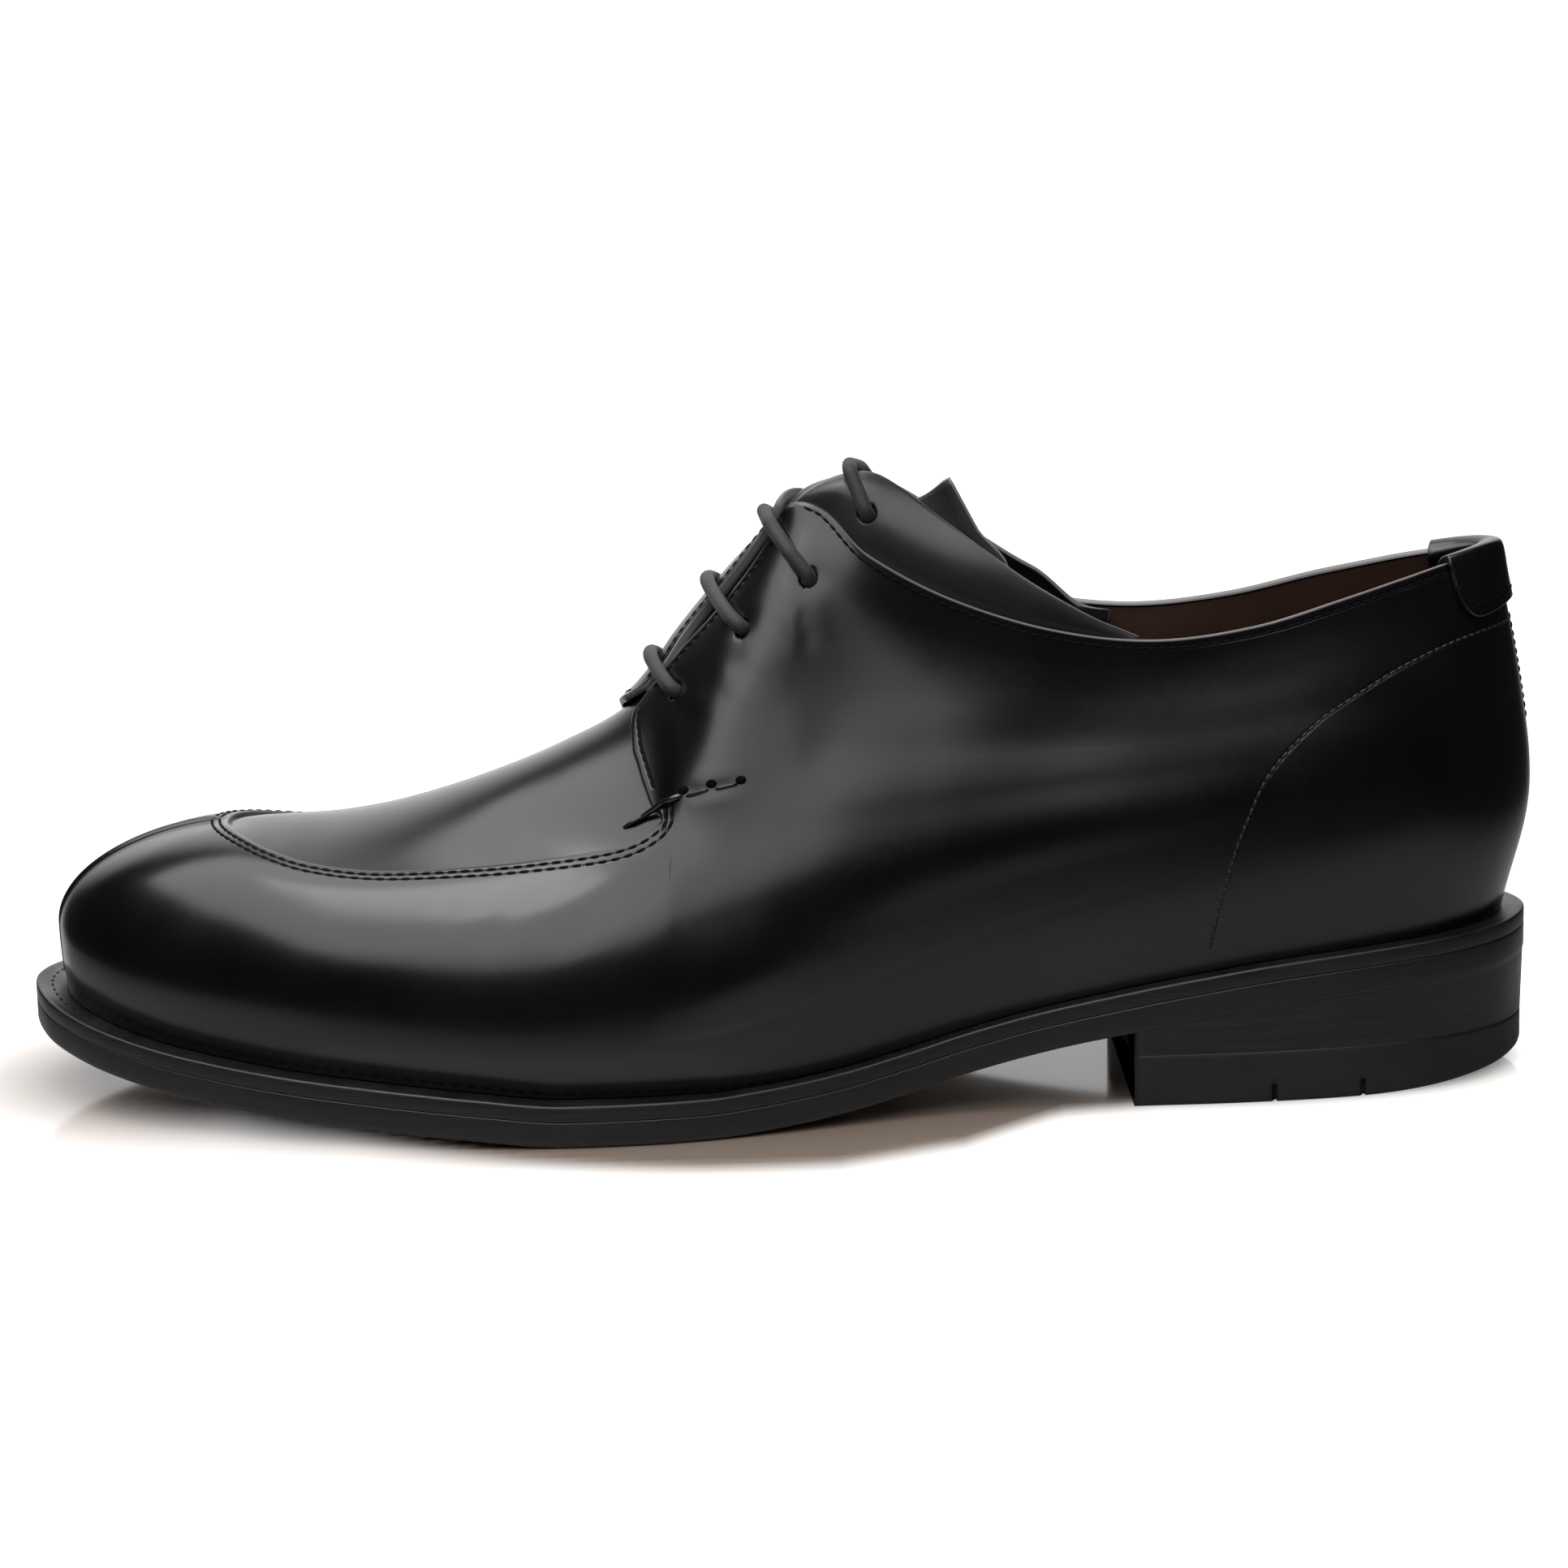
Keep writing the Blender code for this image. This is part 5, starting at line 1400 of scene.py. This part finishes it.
# hand-sewn stay at the foot of the quarter's front edge: rib, height, lift and radius along each stitch
stayShape = {
    "stitches": (
        ((12.27, 2.150, -1.0, 0.32), (12.18, 2.160, -0.6, 0.48), (12.05, 2.172, -0.45, 0.54),
         (11.92, 2.172, 0.1, 0.6), (11.7, 2.158, 0.4, 0.66), (11.4, 2.105, 0.4, 0.7),
         (11.15, 2.072, 0.15, 0.62), (11.02, 2.066, -0.9, 0.5)),
        ((10.97, 2.045, -0.8, 0.36), (10.86, 2.035, 0.05, 0.38), (10.66, 2.025, 0.18, 0.38),
         (10.5, 2.02, 0.05, 0.38), (10.42, 2.018, -0.8, 0.36)),
        ((10.34, 2.012, -0.8, 0.36), (10.22, 2.005, 0.05, 0.38), (10.02, 2.0, 0.18, 0.38),
         (9.88, 1.996, 0.05, 0.38), (9.8, 1.994, -0.8, 0.36))),
    "holes": ((11.0, 2.078), (10.38, 2.038), (9.76, 2.010)),
}
stayHoles = []
for side, word in ((lat, "outer"), (med, "inner")):
    for k, path in enumerate(stayShape["stitches"]):
        line = smoothPath(path, 40)
        p, n = skinAt(line[:, 0], line[:, 1], side)
        p = p + levelled(n) * formRelief(line[:, 0], line[:, 1])[:, None]
        lift = line[:, 2] + creaseRelief(p, side)
        tube("stay_%s_%d" % (word, k + 1), p + n * lift[:, None], line[:, 3], stayCalf, "upper_calf",
             around=10)
    places = np.array(stayShape["holes"])
    spots, ups = settle(skinAt(places[:, 0], places[:, 1], side)[0], panelTrees[side])
    stayHoles.append((spots, unit(np.gradient(spots, axis=0)), ups))
# near-black discs at the stay's holes: painted shade inside them
layRow("stay_hole_shade", stayHoles, "stay", holeShade, hole=True)
print("stay sewn")

soleShape = {
    "step": 0.1, "across": 14, "overHeel": 0.15,
    # inset and height of each edge, from below
    "outsole": ((1.5, 0.0), (0.9, 0.06), (0.4, 0.3), (0.1, 0.8), (0.0, 1.4), (0.0, 4.9), (0.05, 5.16),
                (0.3, 5.27), (9.0, 5.27)),
    "welt": ((9.0, 5.3), (0.3, 5.3), (0.05, 5.38), (0.0, 5.6), (0.0, 7.9), (0.08, 8.24), (0.3, 8.44),
             (0.7, 8.5), (1.4, 8.45), (2.0, 8.36), (2.7, 8.42), (3.4, 8.5), (10.4, 8.5)),
    # bare leather turns up a little at the edge, and stops at the heel
    "tan": (1.0, 0.75, 0.3, 0.1), "tanEnd": (56.0, 62.0),
    "weltRow": (3.3, 8.6), "weltRowEnd": 66.0,
}


def ringAt(inset, height, step, overHeel=1.0):
    # the inset shrinks by overHeel where the heel sits below
    place = np.arange(0.0, 20.0 + 1e-6, step)
    inset = inset * (overHeel + (1.0 - overHeel) * smooth(place, 5.9, 6.5))
    outer = edgeInset(place, lat, inset)
    inner = edgeInset(place[1:-1], med, inset[1:-1])[::-1]
    ring = np.vstack((outer, inner))
    return np.column_stack((ring, bottomZ(ring[:, 0]) + height))


def loftRings(rings):
    n = len(rings[0])
    faces = []
    for k in range(len(rings) - 1):
        for i in range(n):
            j = (i + 1) % n
            faces.append([k * n + j, k * n + i, (k + 1) * n + i, (k + 1) * n + j])
    return np.vstack(rings), faces


def buildOutsole():
    shape = soleShape
    rings = [ringAt(i, h, shape["step"], shape["overHeel"] if h < 1.0 else 1.0) for i, h in shape["outsole"]]
    verts, faces = loftRings(rings)
    n = len(rings[0])
    tan = np.repeat(shape["tan"] + (0.0,) * (len(rings) - len(shape["tan"])), n)
    tan = tan * (1 - smooth(verts[:, 0], *shape["tanEnd"]))
    half = n // 2
    cross = shape["across"]
    start = len(verts)
    extra = []
    for i in range(1, half):
        a, b = rings[0][i], rings[0][n - i]
        extra += [a + (b - a) * f / cross for f in range(1, cross)]

    def at(i, f):
        if f == 0 or i in (0, half):
            return i
        if f == cross:
            return (n - i) % n
        return start + (i - 1) * (cross - 1) + f - 1

    for i in range(half):
        for f in range(cross):
            quad = [at(i, f), at(i, f + 1), at(i + 1, f + 1), at(i + 1, f)]
            quad = [q for k, q in enumerate(quad) if q not in quad[:k]]
            if len(quad) > 2:
                faces.append(quad[::-1])
    verts = np.vstack((verts, extra))
    tan = np.concatenate((tan, np.ones(len(extra))))
    makePiece("leather_sole", verts, faces, soleLeather, ("outsole",), {"tan": tan})


def buildWelt():
    shape = soleShape
    verts, faces = loftRings([ringAt(i, h, shape["step"]) for i, h in shape["welt"]])
    welt = makePiece("welt_leather_strip", verts, faces, weltLeather, ("welt",))
    line = ringAt(*shape["weltRow"], shape["step"])
    line = line[line[:, 0] < shape["weltRowEnd"]]
    row = rowPoints(line, meshTree(welt), stitchSizes["welt"]["pitch"])
    layRow("welt_stitches", [row], "welt", blackThread)


heelShape = {
    "breast": 6.0, "hollow": 4.0, "step": 0.1, "inset": 0.6, "flare": 0.4,
    "rings": 24, "layers": 3, "layerGroove": 0.025, "liftHigh": 10.0,
    # rubber lift: inset, height, how far the back is worn up
    "lift": ((1.6, 0.0, 3.4), (1.1, 0.08, 3.42), (0.8, 0.32, 3.5), (0.62, 0.8, 3.58), (0.6, 1.3, 3.5),
             (0.6, 2.0, 3.3), (0.6, 3.0, 2.9), (0.6, 3.55, 2.6), (0.6, 3.75, 2.5), (0.6, 5.5, 1.8),
             (0.6, 7.5, 0.9), (0.6, 9.5, 0.1), (0.6, 10.1, 0.0), (0.7, 10.25, 0.0), (1.2, 10.28, 0.0)),
    "wornFrom": 114.0, "wornLong": 38.0,
    "notches": (98.0, 116.0), "notchHalf": 0.5, "notchDeep": 1.5, "notchHigh": 3.6,
}


def heelOutline(inset, places):
    outer = edgeInset(places, lat, inset)
    inner = edgeInset(places[:-1], med, inset)[::-1]
    a, b = inner[-1], outer[0]
    t = np.linspace(0, 1, 26)[1:-1, None]
    breast = a + (b - a) * t
    breast[:, 0] += heelShape["hollow"] * 4.0 * (t * (1 - t))[:, 0]
    return np.vstack((outer, inner, breast)), len(outer) + len(inner)


def capFaces(faces, start, sideCount, total, flip):
    # strips across between the two sides, then the hollow breast
    half = sideCount // 2
    made = []
    for i in range(half - 1):
        made.append([start + i, start + i + 1, start + sideCount - 2 - i, start + sideCount - 1 - i])
    made.append([start + half - 1, start + half, start + half + 1])
    made.append([start, start + sideCount - 1] + [start + k for k in range(sideCount, total)])
    faces += [q[::-1] if flip else q for q in made]


def heelPiece(name, rings, sideCount, mat, node):
    verts, faces = loftRings(rings)
    total = len(rings[0])
    capFaces(faces, 0, sideCount, total, True)
    capFaces(faces, (len(rings) - 1) * total, sideCount, total, False)
    makePiece(name, verts, faces, mat, (node,))


def buildHeel():
    shape = heelShape
    places = np.arange(shape["breast"], -1e-6, -shape["step"])
    places[-1] = 0.0
    rings = []
    for k in range(shape["rings"] + 1):
        f = k / shape["rings"]
        layer = (f * shape["layers"]) % 1.0
        groove = 0.0
        if 0.02 < f < 0.98:
            groove = shape["layerGroove"] * math.exp(-(min(layer, 1 - layer) / 0.06) ** 2)
        line, count = heelOutline(shape["inset"] - shape["flare"] * f + groove, places)
        low = shape["liftHigh"] + seatGap
        high = bottomZ(line[:, 0]) - 0.02
        rings.append(np.column_stack((line, low + (high - low) * f)))
    heelPiece("heel_layers", rings, count, heelLeather, "heel_stack")
    rings = []
    for inset, z, worn in shape["lift"]:
        line, count = heelOutline(inset, notchPlaces(places))
        lift = np.clip((line[:, 0] - shape["wornFrom"]) / shape["wornLong"], 0.0, 1.0) ** 2 * worn
        for x in shape["notches"]:
            near = (np.abs(line[:, 0] - x) < shape["notchHalf"]) & (line[:, 1] < 0)
            if z < shape["notchHigh"]:
                line[near, 1] += shape["notchDeep"]
        rings.append(np.column_stack((line, z + lift)))
    heelPiece("rubber_lift", rings, count, liftRubber, "heel_top_lift")


def notchPlaces(places):
    # extra stations at both walls of each notch
    fine = np.linspace(0.0, heelShape["breast"], 4000)
    xs = edgeInset(fine, lat, heelShape["inset"])[:, 0]
    extra = []
    for x in heelShape["notches"]:
        for off in (-0.56, -0.46, 0.46, 0.56):
            extra.append(fine[np.argmin(np.abs(xs - x - off))])
    return np.sort(np.concatenate((places, extra)))[::-1]


buildOutsole()
buildWelt()
buildHeel()
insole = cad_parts["insole"]  # the solid itself, with a better finish
if not insole.material_slots:
    insole.data.materials.append(sockLeather)
for place in insole.material_slots:
    place.material = sockLeather
print("sole and heel made")

floorSetup = {
    "half": (420.0, 330.0), "cells": (240, 188), "farOut": (34.0, 42.0),
    # the lens sees a dim brownish floor: painted shade and a painted reflection of the tan sole round the sole
    "rough": 0.1, "seen": (0.2, 0.16, 0.136), "bounce": 0.37, "far": 0.03,
    # the part that throws light back on the shoe fades in and out along it, and in from the front
    "bounceIn": (-300.0, -170.0), "bounceOut": (200.0, 330.0), "bounceFront": (-240.0, -110.0),
    # painted light: a glow seen only by the lens whitens the floor by distance from the sole, leaving painted
    # contact shade next to it; in millimetres: along, then where it starts and ends
    "glow": 1.0,
    "glowMarks": ((-160, -8, 34), (-110, -22, 20), (-85, -14, 15), (-50, 2, 17), (-15, 12, 25),
                  (10, 17, 31), (35, 13, 26), (55, -4, 9), (75, -9, 6)),
}


def paleFloor(setup):
    # a fine patch under the shoe carries the marks "glow" and "bounce"; a wide frame runs out from it
    xs, ys = (np.linspace(-half, half, cells + 1) for half, cells in zip(setup["half"], setup["cells"]))
    x, y = np.meshgrid(xs, ys, indexing="ij")
    spots = np.column_stack((x.ravel(), y.ravel()))
    outline = ringAt(0.0, 0.0, soleShape["step"])[:, :2]
    outline = np.vstack((outline, outline[:1]))
    away = lineDistance(spots, outline)[0]
    inside = np.zeros(len(spots), bool)
    for a, b in zip(outline[:-1], outline[1:]):
        crosses = (a[1] > spots[:, 1]) != (b[1] > spots[:, 1])
        with np.errstate(divide="ignore", invalid="ignore"):
            at = (b[0] - a[0]) * (spots[:, 1] - a[1]) / (b[1] - a[1]) + a[0]
        inside ^= crosses & (spots[:, 0] < at)
    away[inside] *= -1
    marks = np.array(setup["glowMarks"], float)
    start, end = (np.interp(spots[:, 0], marks[:, 0], marks[:, k]) for k in (1, 2))
    glow = smooth((away - start) / (end - start), 0.0, 1.0) * setup["glow"]
    bounce = smooth(spots[:, 0], *setup["bounceIn"]) * (1 - smooth(spots[:, 0], *setup["bounceOut"]))
    bounce = bounce * smooth(spots[:, 1], *setup["bounceFront"])
    verts = [(q[0] * 0.001, q[1] * 0.001, 0.0) for q in spots + lastShift[:2]]
    faces = gridFaces(len(xs), len(ys))
    rim = [i * len(ys) + j for i, j in gridRim(len(xs), len(ys))]
    start = len(verts)
    verts += [(verts[k][0] * setup["farOut"][0], verts[k][1] * setup["farOut"][1], 0.0) for k in rim]
    for k in range(len(rim)):
        m = (k + 1) % len(rim)
        faces.append([rim[k], start + k, start + m, rim[m]])
    mesh = bpy.data.meshes.new("floor")
    mesh.from_pydata(verts, [], faces)
    for key, values, outer in (("glow", glow, setup["glow"]), ("bounce", bounce, 0.0)):
        values = np.concatenate((values, np.full(len(rim), outer))).astype(np.float32)
        mesh.attributes.new(key, "FLOAT", "POINT").data.foreach_set("value", values)
    floor = bpy.data.objects.new("floor", mesh)
    scene.collection.objects.link(floor)
    white = (1.0, 1.0, 1.0, 1.0)
    mat, tree, shader = startMaterial("paleFloor", Roughness=setup["rough"], Emission_Color=white)
    lens = addNode(tree, "ShaderNodeLightPath").outputs["Is Camera Ray"]
    unseen = remap(tree, markField(tree, "bounce"), 0.0, 1.0, setup["far"], setup["bounce"], "LINEAR")
    # the lens gets the dim brownish colour, painted shade and sole reflection, plus the painted glow away from
    # the sole
    wire(tree, shader, Base_Color=mixColour(tree, lens, unseen, setup["seen"]),
         Emission_Strength=mathNode(tree, "MULTIPLY", markField(tree, "glow"), lens))
    mesh.materials.append(mat)


paleFloor(floorSetup)
print("floor laid")
